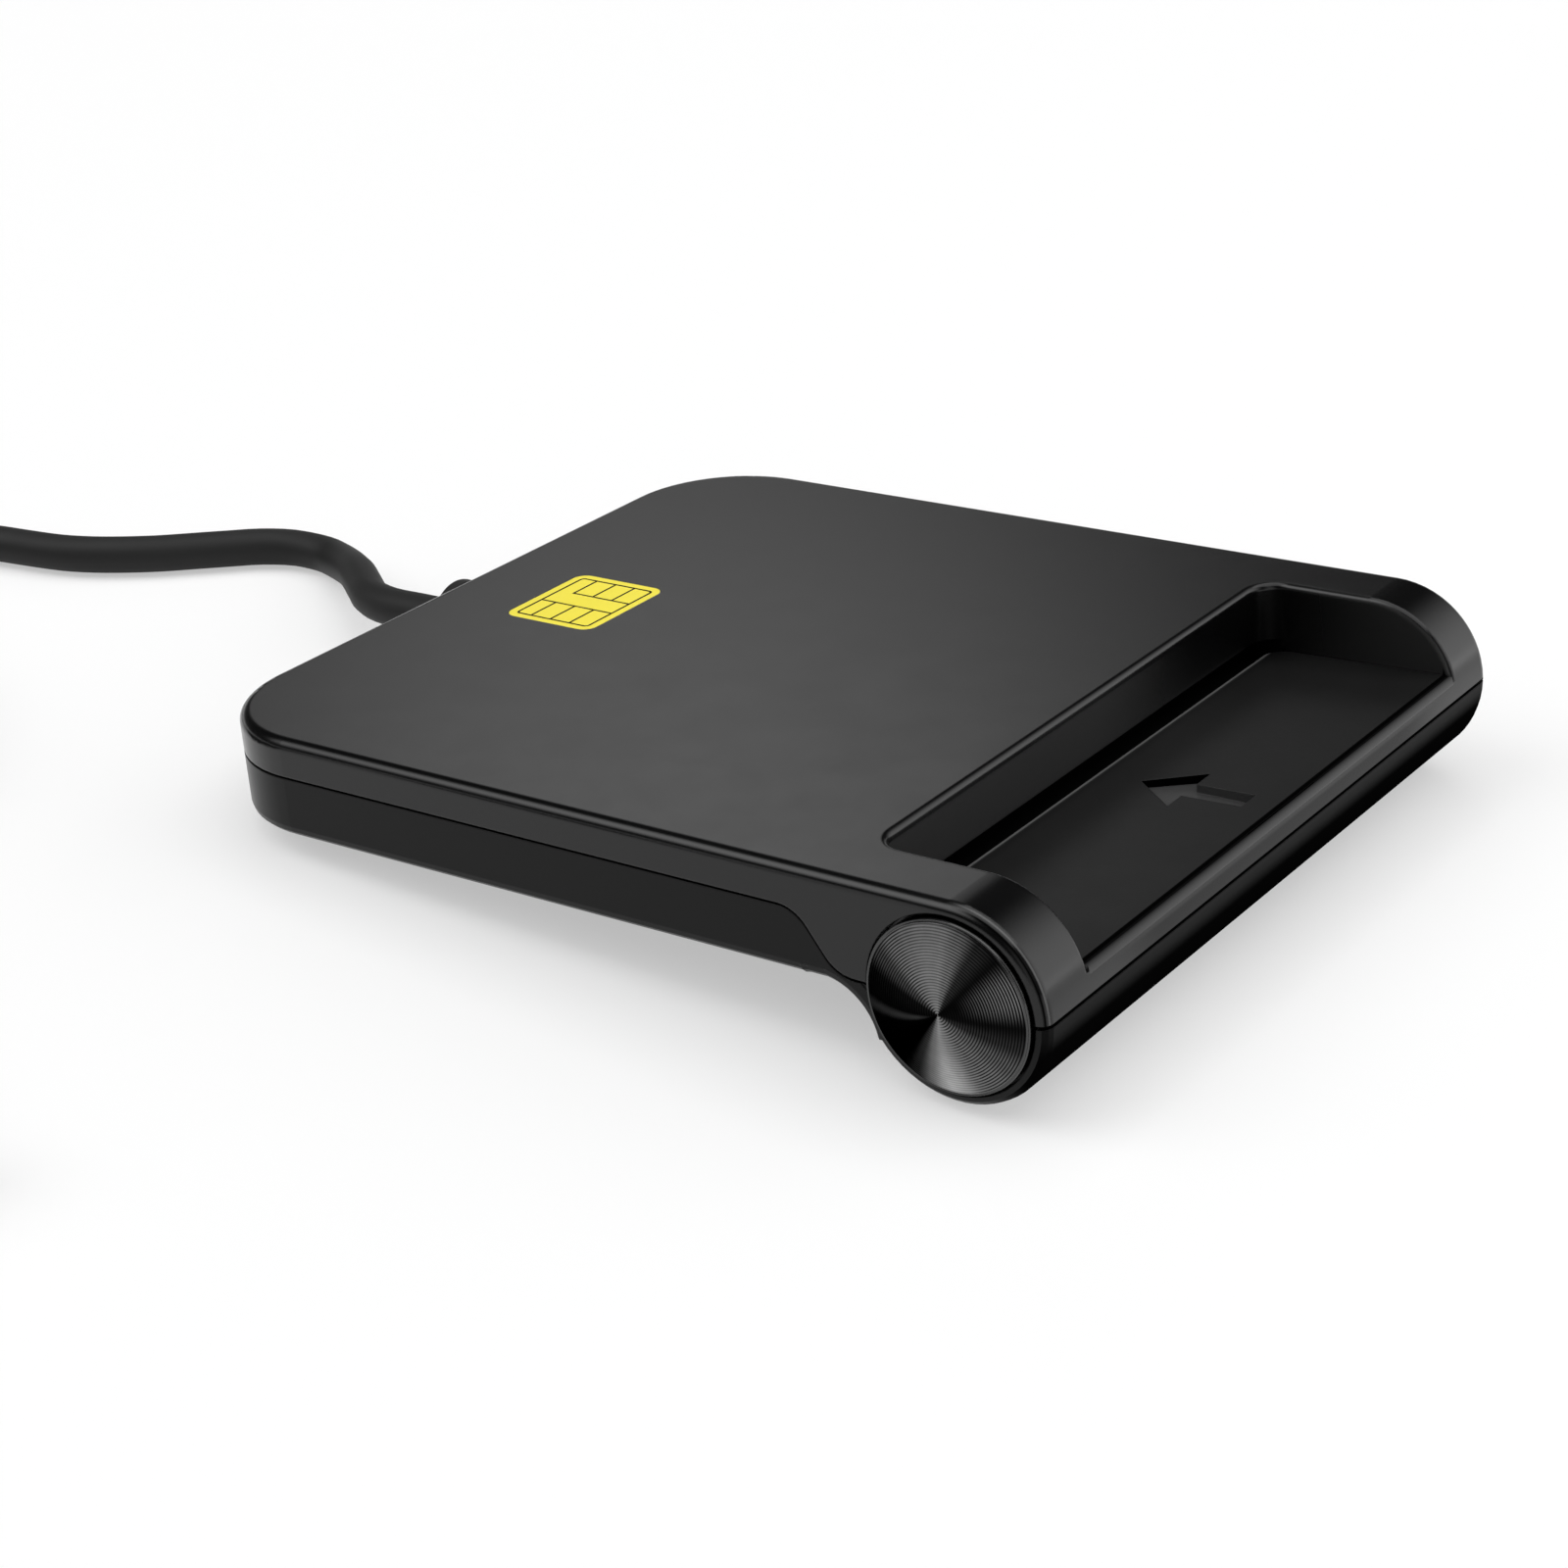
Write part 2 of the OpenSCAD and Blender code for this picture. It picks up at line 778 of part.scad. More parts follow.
module bottom_cover() {
    color([0.14, 0.14, 0.14])
        stand()
            difference() {
                union() {
                    difference() {
                        lower_shape();
                        disc_seats();
                    }
                    seam_tongue();
                    inside_bottom() {
                        tray_ribs();
                        card_rails();
                    }
                    at_rear_screws()
                        bar(post_d, under_z + foot_seat, rear_post_z);
                    intersection() {
                        at_front_screws()
                            bar(post_d, -roll_r, front_post_z);
                        turned_inside(inner_half + slack, roll_r - roll_wall / 2);
                    }
                }
                neck_hole();
                at_rear_screws() {
                    bar(rear_foot_d + 2 * foot_slack, under_z - over, under_z + foot_seat);
                    bar(head_hole_d, under_z, rear_post_z - shoulder_t);
                    bar(screw_hole_d, under_z, rear_post_z + over);
                }
                at_front_screws() {
                    bar(front_foot_d + 2 * foot_slack, -roll_r - over, -roll_r + front_seat);
                    bar(head_hole_d, -roll_r, front_post_z - shoulder_t);
                    bar(screw_hole_d, -roll_r, front_post_z + over);
                }
            }
}

// The tongue that stands inside the top cover's wall behind the parting line's step
module seam_tongue() {
    y0 = seam_mid_y + seam_half + over;
    outer = half_w - side_t - slack;
    rear = body_l - side_t - slack;
    difference() {
        rear_rounded_block(outer, y0, rear, seam_z - over, seam_z + tongue_h, corner_r - side_t - slack);
        rear_rounded_block(outer - tongue_t, y0 - over, rear - tongue_t, seam_z - 2 * over,
            seam_z + 2 * over, corner_r - side_t - slack - tongue_t);
    }
}

// Keeps what stands on the floor inside the bottom cover's walls
module inside_bottom() {
    intersection() {
        union() {
            rear_rounded_block(half_w - side_t, 0, body_l - side_t, under_z + floor_t / 2, top_z, corner_r - side_t);
            turned_inside(inner_half + slack, roll_r - roll_wall / 2);
        }
        union()
            children();
    }
}

module tray_ribs() {
    for (share = tray_rib_shares)
        translate([share * recess_half - tray_rib_t / 2, tray_front_y + over, -roll_r])
            cube([tray_rib_t, tray_rear_y - tray_front_y - 2 * over, roll_r + card_z - tray_t]);
}

// The rails that the card slides on, the guides at its sides and its stops
module card_rails() {
    rail_y = recess_l + rail_start;
    for (x = [-card_w / 2 + rail_t, -card_w / 6, card_w / 6, card_w / 2 - rail_t])
        translate([x - rail_t / 2, rail_y, under_z])
            cube([rail_t, card_stop_l - rail_y, card_z - slack - under_z]);
    for (side = [0, 1])
        mirror([side, 0, 0]) {
            translate([recess_half, rail_y, under_z])
                cube([guide_t, card_stop_l - rail_y, card_z + guide_h - under_z]);
            for (x = [card_w / 6, card_w / 2 - 2 * rail_t])
                translate([x - stop_w / 2, card_stop_l, under_z])
                    cube([stop_w, stop_t, card_top_z + stop_over - under_z]);
        }
}

module card_tray() {
    edge_y = tray_rear_y - tray_edge_r;
    half = recess_half - slack;
    color([0.17, 0.17, 0.17])
        stand()
            difference() {
                intersection() {
                    across(-half, half)
                        polygon(concat([[tray_front_y, tray_front_z], [tray_front_y, card_z - tray_t],
                            [tray_rear_y, card_z - tray_t]],
                            arc(edge_y, card_z - tray_edge_r, tray_edge_r, 0, 90, seam_steps)));
                    rear_rounded_block(half, tray_front_y - over, tray_rear_y, card_z - tray_t - over,
                        tray_front_z + over, recess_corner_r);
                }
                translate([0, (tray_front_y + recess_l) / 2 - over, card_z - arrow_depth])
                    linear_extrude(height = tray_rise + arrow_depth + over)
                        polygon([for (p = arrow_shares) [p[0] * arrow_head_w / 2, p[1] * arrow_l]]);
            }
}

// One spun disc: a short drum with a domed face
module end_disc() {
    dome_r = (pow(disc_r, 2) + pow(disc_dome, 2)) / (2 * disc_dome);
    intersection() {
        translate([half_w - disc_seat_t, 0, 0])
            rotate([0, 90, 0])
                cylinder(h = disc_seat_t + disc_proud + disc_dome, r = disc_r);
        translate([half_w + disc_proud + disc_dome - dome_r, 0, 0])
            sphere(dome_r, $fn = 96);
    }
}

module end_disc_left() {
    color([0.1, 0.1, 0.1])
        stand()
            mirror([1, 0, 0])
                end_disc();
}

module end_disc_right() {
    color([0.1, 0.1, 0.1])
        stand()
            end_disc();
}

module cover_screws() {
    color([0.7, 0.7, 0.72])
        stand() {
            at_rear_screws() {
                bar(screw_head_d, rear_post_z - shoulder_t - screw_head_h, rear_post_z - shoulder_t);
                bar(screw_d, rear_post_z - shoulder_t, top_z - pilot_end - slack);
            }
            at_front_screws() {
                bar(screw_head_d, front_post_z - shoulder_t - screw_head_h, front_post_z - shoulder_t);
                bar(screw_d, front_post_z - shoulder_t, front_post_z - shoulder_t + screw_thread_l);
            }
        }
}

// A foot, cut level with the surface that the body stands on
module levelled() {
    intersection() {
        stand()
            children();
        translate([-far, -far, 0])
            cube([2 * far, 2 * far, far]);
    }
}

module front_foot(side) {
    color([0.08, 0.08, 0.08])
        levelled()
            translate([side * front_screw_x, 0, 0])
                bar(front_foot_d, -roll_r - 2 * over, -roll_r + front_seat);
}

module rear_foot(side) {
    color([0.08, 0.08, 0.08])
        levelled()
            translate([side * rear_screw_x, rear_screw_y, 0])
                bar(rear_foot_d, -roll_r, under_z + foot_seat);
}

module foot_front_left() { front_foot(-1); }
module foot_front_right() { front_foot(1); }
module foot_rear_left() { rear_foot(-1); }
module foot_rear_right() { rear_foot(1); }

module circuit_board() {
    color([0.05, 0.3, 0.15])
        stand()
            difference() {
                translate([-board_w / 2, board_y0, board_z])
                    cube([board_w, board_l, board_t]);
                at_board_screws()
                    bar(board_hole_d, board_z - over, board_z + board_t + over);
            }
}

module board_screws() {
    color([0.7, 0.7, 0.72])
        stand()
            at_board_screws() {
                bar(board_head_d, board_z - board_head_h, board_z);
                bar(board_screw_d, board_z, top_z - board_skin - slack);
            }
}

// Where the contacts' roots are: c1 to c4 in the rear row, c5 to c8 in the front row
function contact_x(i) = contact_first - (i % 4) * contact_pitch;
function contact_y(i) = card_stop_l - contact_rows[i < 4 ? 0 : 1] - contact_reach;

module contact_block() {
    x0 = contact_x(3) - block_side;
    x1 = contact_x(0) + block_side;
    y0 = contact_y(4) - contact_root_room - block_side / 2;
    y1 = contact_y(0) + contact_reach + contact_tip_l + contact_room + block_side / 2;
    color([0.12, 0.12, 0.12])
        stand()
            difference() {
                translate([x0, y0, block_z])
                    cube([x1 - x0, y1 - y0, board_z - block_z]);
                for (i = [0:7])
                    translate([contact_x(i) - contact_w / 2 - contact_room,
                        contact_y(i) - contact_root_room, block_z - over])
                        cube([contact_w + 2 * contact_room,
                            contact_root_room + contact_reach + contact_tip_l + contact_room,
                            board_z - block_z + 2 * over]);
            }
}

// One spring contact: a tail up to the board, a round bend, a long leaf down to the card and an
// upturned tip
module contact(i) {
    low = card_top_z - contact_dip - contact_root_z;
    tail = board_z - contact_root_z - slack;
    t = contact_t;
    color([0.85, 0.7, 0.35])
        stand()
            translate([0, contact_y(i), contact_root_z]) {
                translate([contact_x(i) - contact_w / 2, 0, 0])
                    rotate([0, 90, 0])
                        cylinder(h = contact_w, r = contact_t, $fn = 24);
                across(contact_x(i) - contact_w / 2, contact_x(i) + contact_w / 2)
                    polygon([[0, tail], [0, 0], [contact_reach - contact_tip_l / 2, low],
                        [contact_reach + contact_tip_l / 2, low], [contact_reach + contact_tip_l, low / 2],
                        [contact_reach + contact_tip_l - t, low / 2], [contact_reach + contact_tip_l / 2 - t, low + t],
                        [contact_reach - contact_tip_l / 2, low + t], [t, t], [t, tail]]);
            }
}

module contact_c1() { contact(0); }
module contact_c2() { contact(1); }
module contact_c3() { contact(2); }
module contact_c4() { contact(3); }
module contact_c5() { contact(4); }
module contact_c6() { contact(5); }
module contact_c7() { contact(6); }
module contact_c8() { contact(7); }

// The housing of the card switch, with two ears for its lever
module card_switch() {
    x0 = switch_x - switch_w / 2;
    color([0.85, 0.85, 0.82])
        stand()
            difference() {
                union() {
                    translate([x0, board_y1 - switch_l, board_z - switch_h])
                        cube([switch_w, switch_l, switch_h]);
                    for (x = [x0, x0 + switch_w - switch_ear_t])
                        translate([x, board_y1 - slack, board_z - switch_h])
                            cube([switch_ear_t, switch_ear_l, switch_h]);
                }
                translate([x0 - over, switch_pin_y, switch_pin_z])
                    rotate([0, 90, 0])
                        cylinder(h = switch_w + 2 * over, r = switch_bore_r);
            }
}

// The lever that the card's leading edge pushes: a barrel with two pins and a flap
module card_switch_lever() {
    barrel_w = switch_w - 2 * switch_ear_t - 2 * switch_room;
    color([0.9, 0.9, 0.9])
        stand() {
            translate([switch_x - switch_w / 2, switch_pin_y, switch_pin_z])
                rotate([0, 90, 0])
                    cylinder(h = switch_w, r = switch_pin_r);
            translate([switch_x - barrel_w / 2, switch_pin_y, switch_pin_z])
                rotate([0, 90, 0])
                    cylinder(h = barrel_w, r = switch_barrel_r);
            translate([switch_x - barrel_w / 2, switch_pin_y - switch_flap_t / 2, switch_pin_z - switch_flap_l])
                cube([barrel_w, switch_flap_t, switch_flap_l]);
        }
}

module controller_chip() {
    color([0.06, 0.06, 0.06])
        stand()
            translate([chip_x - chip_side / 2, chip_y - chip_side / 2, board_z - chip_stand - chip_h])
                cube([chip_side, chip_side, chip_h]);
}

// One leg: a shoulder at half height of its chip, a riser and a foot on the board
module leg(w, body_half, body_h) {
    mid = body_h / 2 + chip_stand;
    translate([body_half, -w / 2, -mid - leg_t / 2])
        cube([leg_l - leg_foot, w, leg_t]);
    translate([body_half + leg_l - leg_foot - leg_t, -w / 2, -mid - leg_t / 2])
        cube([leg_t, w, mid + leg_t / 2]);
    translate([body_half + leg_l - leg_foot - leg_t, -w / 2, -leg_t])
        cube([leg_foot + leg_t, w, leg_t]);
}

module controller_legs() {
    color([0.75, 0.75, 0.77])
        stand()
            translate([chip_x, chip_y, board_z])
                for (side = [0:3])
                    rotate([0, 0, 90 * side])
                        for (i = [0:legs_side - 1])
                            translate([0, (i - (legs_side - 1) / 2) * leg_pitch, 0])
                                leg(leg_w, chip_side / 2, chip_h);
}

// A plain block that hangs under the board at a place
module under_board(x, y, size) {
    stand()
        translate([x - size[0] / 2, y - size[1] / 2, board_z - size[2]])
            cube(size);
}

module clock_crystal() {
    color([0.8, 0.8, 0.82])
        under_board(crystal_x, crystal_y, crystal_size);
}

module regulator() {
    color([0.06, 0.06, 0.06])
        stand()
            translate([regulator_x - regulator_size[0] / 2, regulator_y - regulator_size[1] / 2,
                board_z - chip_stand - regulator_size[2]])
                cube(regulator_size);
}

module regulator_legs() {
    half = regulator_size[1] / 2;
    color([0.75, 0.75, 0.77])
        stand()
            translate([regulator_x, regulator_y, board_z]) {
                for (i = [-1, 1])
                    translate([i * regulator_leg_pitch, 0, 0])
                        rotate([0, 0, -90])
                            leg(regulator_leg_w, half, regulator_size[2]);
                rotate([0, 0, 90])
                    leg(regulator_leg_w, half, regulator_size[2]);
            }
}

// Small capacitors and resistors in two rows beside the controller
module board_passives() {
    color([0.6, 0.5, 0.4])
        for (row = [-1, 1])
            for (i = [0:passive_count - 1])
                under_board(chip_x + (i - (passive_count - 1) / 2) * passive_pitch,
                    chip_y - chip_side - row * passive_size[1] * 1.5, passive_size);
}

// One of the cable's four inner wires: straight out of the jacket and up to the board
module inner_wire(i) {
    x = (i - 1.5) * wire_pitch;
    stand() {
        translate([x, jacket_y, cord_z])
            rotate([90, 0, 0])
                cylinder(h = jacket_y - wire_pad_y, r = wire_d / 2);
        translate([x, wire_pad_y, cord_z])
            sphere(wire_d / 2);
        translate([x, wire_pad_y, cord_z])
            cylinder(h = board_z - cord_z, r = wire_d / 2);
    }
}

module wire_red() { color([0.8, 0.1, 0.1]) inner_wire(0); }
module wire_white() { color([0.9, 0.9, 0.9]) inner_wire(1); }
module wire_green() { color([0.1, 0.6, 0.2]) inner_wire(2); }
module wire_black() { color([0.05, 0.05, 0.05]) inner_wire(3); }

// The cable's jacket inside the sleeve
module cable_jacket_end() {
    color([0.15, 0.15, 0.15])
        stand()
            translate([0, sleeve_end_y, cord_z])
                rotate([90, 0, 0])
                    cylinder(h = sleeve_end_y - jacket_y, r = cord_r);
}

// The tapered sleeve: inner flange, neck in the rear wall, outer flange and taper
module cable_sleeve() {
    inner_y = body_l - side_t - slack - tongue_t - slack - inner_flange_t;
    bore_r = cord_r + sleeve_play;
    profile = [[bore_r, inner_y], [inner_flange_d / 2, inner_y], [inner_flange_d / 2, inner_y + inner_flange_t],
        [neck_d / 2, inner_y + inner_flange_t], [neck_d / 2, flange_y],
        [flange_d / 2 - edge_r / 2, flange_y], [flange_d / 2, flange_y + edge_r / 2],
        [flange_d / 2, sleeve_y - edge_r / 2], [flange_d / 2 - edge_r / 2, sleeve_y],
        [sleeve_start_d / 2, sleeve_y], [sleeve_end_d / 2, sleeve_end_y], [bore_r, sleeve_end_y]];
    color([0.13, 0.13, 0.13])
        stand()
            translate([0, 0, cord_z])
                rotate([-90, 0, 0])
                    rotate_extrude()
                        polygon(profile);
}

// A tube of given radius and sides along a list of points, square to it at every point
function unit(v) = v / norm(v);
function heading(p, i) = unit(p[min(i + 1, len(p) - 1)] - p[max(i - 1, 0)]);
function ring(p, i, r, sides) =
    let (t = heading(p, i), s = unit(cross(t, [0, 0, 1])), u = cross(s, t))
    [for (k = [0:sides - 1]) p[i] + r * (cos(360 * (k + 0.5) / sides) * s + sin(360 * (k + 0.5) / sides) * u)];
function skin_faces(n, sides) = [for (i = [0:n - 2], k = [0:sides - 1], half = [0, 1])
    let (a = i * sides + k, b = i * sides + (k + 1) % sides)
    half == 0 ? [a, b, b + sides] : [a, b + sides, a + sides]];
function cap_faces(n, sides) = concat([for (k = [1:sides - 2]) [0, k + 1, k]],
    [for (k = [1:sides - 2]) [(n - 1) * sides, (n - 1) * sides + k, (n - 1) * sides + k + 1]]);

module tube(p, r, sides) {
    polyhedron(points = [for (i = [0:len(p) - 1]) for (q = ring(p, i, r, sides)) q],
        faces = concat(skin_faces(len(p), sides), cap_faces(len(p), sides)));
}

// The coil's path: it spirals in, climbs one layer in the half turn at the middle and spirals out
function coil_radius(u) = u < coil_turns ? coil_out_r - coil_pitch * u
    : u < coil_turns + 0.5 ? coil_in_r - coil_dip * sin(360 * (u - coil_turns))
    : coil_in_r + coil_pitch * (u - coil_turns - 0.5);
function coil_height(u) = coil_first_z + coil_pitch * max(0, min(1, 2 * (u - coil_turns)));
function coil_at(u) = [coil_x + coil_radius(u) * cos(coil_start + 360 * u),
    coil_y + coil_radius(u) * sin(coil_start + 360 * u), coil_height(u)];
coil_total = 2 * coil_turns + 0.5;
coil_rings = round(coil_total * coil_steps);
coil_end_angle = coil_start + 360 * coil_total;
coil_begin = coil_at(0) + [cord_d, 0, 0];
coil_end = coil_at(coil_total) + cord_d * [-sin(coil_end_angle), cos(coil_end_angle), 0];
coil_points = concat([coil_begin], [for (i = [0:coil_rings]) coil_at(i / coil_steps)], [coil_end]);

free_route = concat([exit_point, exit_point + exit_step], free_points,
    [coil_begin + [cord_d, 0, 0], coil_begin]);
tail_route = [coil_end, coil_end - [0, cord_d, 0], [plug_x, 74.5, 5.3], [plug_x, 69.5, 4.5],
    [plug_x, plug_y + cord_d, plug_z], [plug_x, plug_y, plug_z]];

// The least gap between turns, measured on the path's points, and the cable's whole length
function path_length(p) = len(p) < 2 ? 0 : sum([for (i = [1:len(p) - 1]) norm(p[i] - p[i - 1])]);
function sum(list) = list * [for (v = list) 1];
coil_gap = min([for (i = [0:len(coil_points) - 1], j = [i + coil_steps / 2:len(coil_points) - 1])
    norm(coil_points[i] - coil_points[j])]) - cord_d;
echo(coil_gap = coil_gap, cable_length = path_length(free_route) + path_length(coil_points) + path_length(tail_route));

module cable_free_stretch() {
    color([0.15, 0.15, 0.15])
        tube(free_route, cord_r, 8);
}

module cable_coil() {
    color([0.15, 0.15, 0.15])
        tube(coil_points, cord_r, 6);
}

module cable_tail() {
    color([0.15, 0.15, 0.15])
        tube(tail_route, cord_r, 8);
}

// The band that holds the coil's turns together
module cable_tie() {
    r0 = coil_in_r - cord_r - coil_dip - tie_play;
    r1 = coil_out_r + cord_r + tie_play;
    z0 = coil_first_z - cord_r - tie_play / 2;
    z1 = coil_first_z + coil_pitch + cord_r + tie_play;
    color([0.1, 0.1, 0.1])
        translate([coil_x, coil_y, 0])
            rotate([0, 0, tie_angle])
                difference() {
                    translate([r0 - tie_t, -tie_w / 2, z0 - tie_t])
                        cube([r1 - r0 + 2 * tie_t, tie_w, z1 - z0 + 2 * tie_t]);
                    translate([r0, -tie_w, z0])
                        cube([r1 - r0, 2 * tie_w, z1 - z0]);
                }
}

// Places the plug, which points the way the body's front does
module at_plug() {
    translate([plug_x, plug_y, plug_z])
        rotate([0, 0, 180])
            children();
}

// Extrudes an outline across and up along the plug
module along_plug(y0, y1) {
    translate([0, y1, 0])
        rotate([90, 0, 0])
            linear_extrude(height = y1 - y0)
                children();
}

module round_rect(w, h, r) {
    square([w - 2 * r, h], center = true);
    square([w, h - 2 * r], center = true);
    for (x = [r - w / 2, w / 2 - r])
        for (y = [r - h / 2, h / 2 - r])
            translate([x, y])
                circle(r);
}

module usb_plug_grip() {
    shell_y = plug_relief_l + grip_l - shell_inside_l;
    color([0.13, 0.13, 0.13])
        at_plug()
            difference() {
                union() {
                    rotate([-90, 0, 0])
                        cylinder(h = plug_relief_l + slack, r1 = plug_relief_end_d / 2, r2 = plug_relief_d / 2);
                    along_plug(plug_relief_l, plug_relief_l + grip_l)
                        round_rect(grip_w, grip_h, grip_r);
                }
                along_plug(shell_y, plug_relief_l + grip_l + over)
                    square([plug_shell_w + 2 * slack, plug_shell_h + 2 * slack], center = true);
            }
}

module usb_plug_shell() {
    shell_y = plug_relief_l + grip_l - shell_inside_l;
    shell_end = plug_relief_l + grip_l + plug_shell_l - shell_inside_l;
    inner_w = plug_shell_w - 2 * shell_wall;
    inner_h = plug_shell_h - 2 * shell_wall;
    color([0.8, 0.8, 0.82])
        at_plug()
            difference() {
                along_plug(shell_y, shell_end)
                    square([plug_shell_w, plug_shell_h], center = true);
                along_plug(shell_y + shell_wall, shell_end + over)
                    square([inner_w, inner_h], center = true);
                // The two latch windows in each wide face
                for (x = [-plug_shell_w / 4, plug_shell_w / 4])
                    translate([x, shell_end - plug_shell_l * plug_window_share, 0])
                        cube([plug_window, plug_window, 2 * plug_shell_h], center = true);
            }
}

tongue_h_z = (plug_shell_h - 2 * shell_wall) * tongue_h_share;

module usb_plug_tongue() {
    shell_y = plug_relief_l + grip_l - shell_inside_l + shell_wall;
    shell_end = plug_relief_l + grip_l + plug_shell_l - shell_inside_l;
    color([0.92, 0.92, 0.92])
        at_plug()
            translate([-tongue_w / 2, shell_y, plug_shell_h / 2 - shell_wall - slack - tongue_h_z])
                cube([tongue_w, shell_end - shell_y - shell_wall, tongue_h_z]);
}

module usb_plug_contacts() {
    shell_end = plug_relief_l + grip_l + plug_shell_l - shell_inside_l;
    color([0.85, 0.7, 0.35])
        at_plug()
            for (i = [0:3])
                translate([(i - 1.5) * plug_pin_pitch - plug_pin_w / 2, shell_end - shell_wall - plug_pin_l - over,
                    plug_shell_h / 2 - shell_wall - slack - tongue_h_z - plug_pin_t])
                    cube([plug_pin_w, plug_pin_l, plug_pin_t]);
}

top_cover();
bottom_cover();
card_tray();
chip_sign();
end_disc_left();
end_disc_right();
cover_screws();
foot_front_left();
foot_front_right();
foot_rear_left();
foot_rear_right();
circuit_board();
board_screws();
contact_block();
contact_c1();
contact_c2();
contact_c3();
contact_c4();
contact_c5();
contact_c6();
contact_c7();
contact_c8();
card_switch();
card_switch_lever();
controller_chip();
controller_legs();
clock_crystal();
regulator();
regulator_legs();
board_passives();
wire_red();
wire_white();
wire_green();
wire_black();
cable_jacket_end();
cable_sleeve();
cable_free_stretch();
cable_coil();
cable_tie();
cable_tail();
usb_plug_grip();
usb_plug_shell();
usb_plug_tongue();
usb_plug_contacts();
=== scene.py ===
import math

import bmesh
import bpy
from mathutils import Matrix, Vector


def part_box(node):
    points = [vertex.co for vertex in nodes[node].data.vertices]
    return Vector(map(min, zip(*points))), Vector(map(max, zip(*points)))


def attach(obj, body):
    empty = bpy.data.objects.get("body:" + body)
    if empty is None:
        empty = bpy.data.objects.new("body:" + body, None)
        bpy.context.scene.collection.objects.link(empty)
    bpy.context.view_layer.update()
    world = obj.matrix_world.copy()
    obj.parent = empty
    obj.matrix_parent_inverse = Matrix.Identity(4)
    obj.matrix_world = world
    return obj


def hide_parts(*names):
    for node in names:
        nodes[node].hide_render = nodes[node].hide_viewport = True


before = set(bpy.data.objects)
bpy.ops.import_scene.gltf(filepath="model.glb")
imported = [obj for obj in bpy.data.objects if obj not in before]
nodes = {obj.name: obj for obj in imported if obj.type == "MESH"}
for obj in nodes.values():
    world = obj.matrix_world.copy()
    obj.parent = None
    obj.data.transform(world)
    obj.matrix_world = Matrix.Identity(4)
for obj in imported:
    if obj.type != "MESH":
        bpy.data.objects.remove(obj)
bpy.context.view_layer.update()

MM = 0.001
scene = bpy.context.scene


def mm(*values):
    return Vector(values) * MM


# The reader stands rear down: the body's own frame has its origin on the front round's axis,
# with across, along and up as its directions, in millimetres
TILT = math.radians(5.1036)
BODY_L = 70.05
BODY_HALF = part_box("top_cover")[1].x / MM
ROLL_R = 7.5
EDGE_R = 0.9
PAD = 0.4
STAND_Y = ((BODY_L - EDGE_R) * math.cos(TILT) + (ROLL_R - EDGE_R) * math.sin(TILT) + EDGE_R - ROLL_R) / 2
STAND = Matrix.Translation(mm(0, -STAND_Y, ROLL_R + PAD)) @ Matrix.Rotation(-TILT, 4, "X")


def body_points(name):
    """The places of a node's points in the body's own frame."""
    return [(STAND.inverted() @ v.co) / MM for v in nodes[name].data.vertices]


# The finger recess and its tray
RECESS_HALF = 27.49
RECESS_REAR_Y = 9.2
CARD_Z = 1.8
TRAY_RISE = 0.4
TRAY_END = max(p.y for p in body_points("card_tray"))
ARROW_HALF = 5
SIGN_TOP = max(p.z for p in body_points("chip_sign"))
# The front seam's upper edge
SEAM_Z = min(p.z for p in body_points("top_cover") if p.y < -ROLL_R + 0.1)
# The lip in front of the tray has a rounded crest, to this radius
CREST_R = 0.9
CREST_DROP = 0.08
CREST_Z = CARD_Z + TRAY_RISE - CREST_DROP - CREST_R
CREST_Y = -math.sqrt((ROLL_R - CREST_R) ** 2 - CREST_Z ** 2)
CREST_END_Z = CREST_Z * ROLL_R / (ROLL_R - CREST_R)

# Camera, at the photograph's place
PHOTO_PX = 1600
FOCAL_PX = 3279.155
SENSOR_MM = 36
CAMERA_AT = mm(-187.18, -128.946, 116.909)
CAMERA_TO = Vector((0.7229, 0.5211, -0.4537))

camera_data = bpy.data.cameras.new("camera")
camera_data.sensor_width = SENSOR_MM
camera_data.lens = FOCAL_PX / PHOTO_PX * SENSOR_MM
camera_data.clip_start = 0.01
camera_data.clip_end = 20
camera = bpy.data.objects.new("camera", camera_data)
camera.location = CAMERA_AT
camera.rotation_mode = "QUATERNION"
camera.rotation_quaternion = CAMERA_TO.to_track_quat("-Z", "Y")
scene.collection.objects.link(camera)
scene.camera = camera


# Nodes that the materials are made of

def new_material(name):
    material = bpy.data.materials.new(name)
    material.use_nodes = True
    tree = material.node_tree
    tree.nodes.clear()
    output = tree.nodes.new("ShaderNodeOutputMaterial")
    shader = tree.nodes.new("ShaderNodeBsdfPrincipled")
    tree.links.new(shader.outputs[0], output.inputs["Surface"])
    return material, tree, shader


def parts_of(material):
    tree = material.node_tree
    return tree, [n for n in tree.nodes if n.type == "BSDF_PRINCIPLED"][0]


def noise(tree, scale_mm, detail, seed):
    """Noise whose features are about scale_mm across, in the object's own space."""
    place = tree.nodes.new("ShaderNodeTexCoord")
    texture = tree.nodes.new("ShaderNodeTexNoise")
    texture.noise_dimensions = "4D"
    texture.inputs["Scale"].default_value = 1 / (scale_mm * MM)
    texture.inputs["Detail"].default_value = detail
    texture.inputs["W"].default_value = seed
    tree.links.new(place.outputs["Object"], texture.inputs["Vector"])
    return texture.outputs["Fac"]


# The middle of a noise, where nearly all of it lies
NOISE_LOW, NOISE_HIGH = 0.3, 0.7


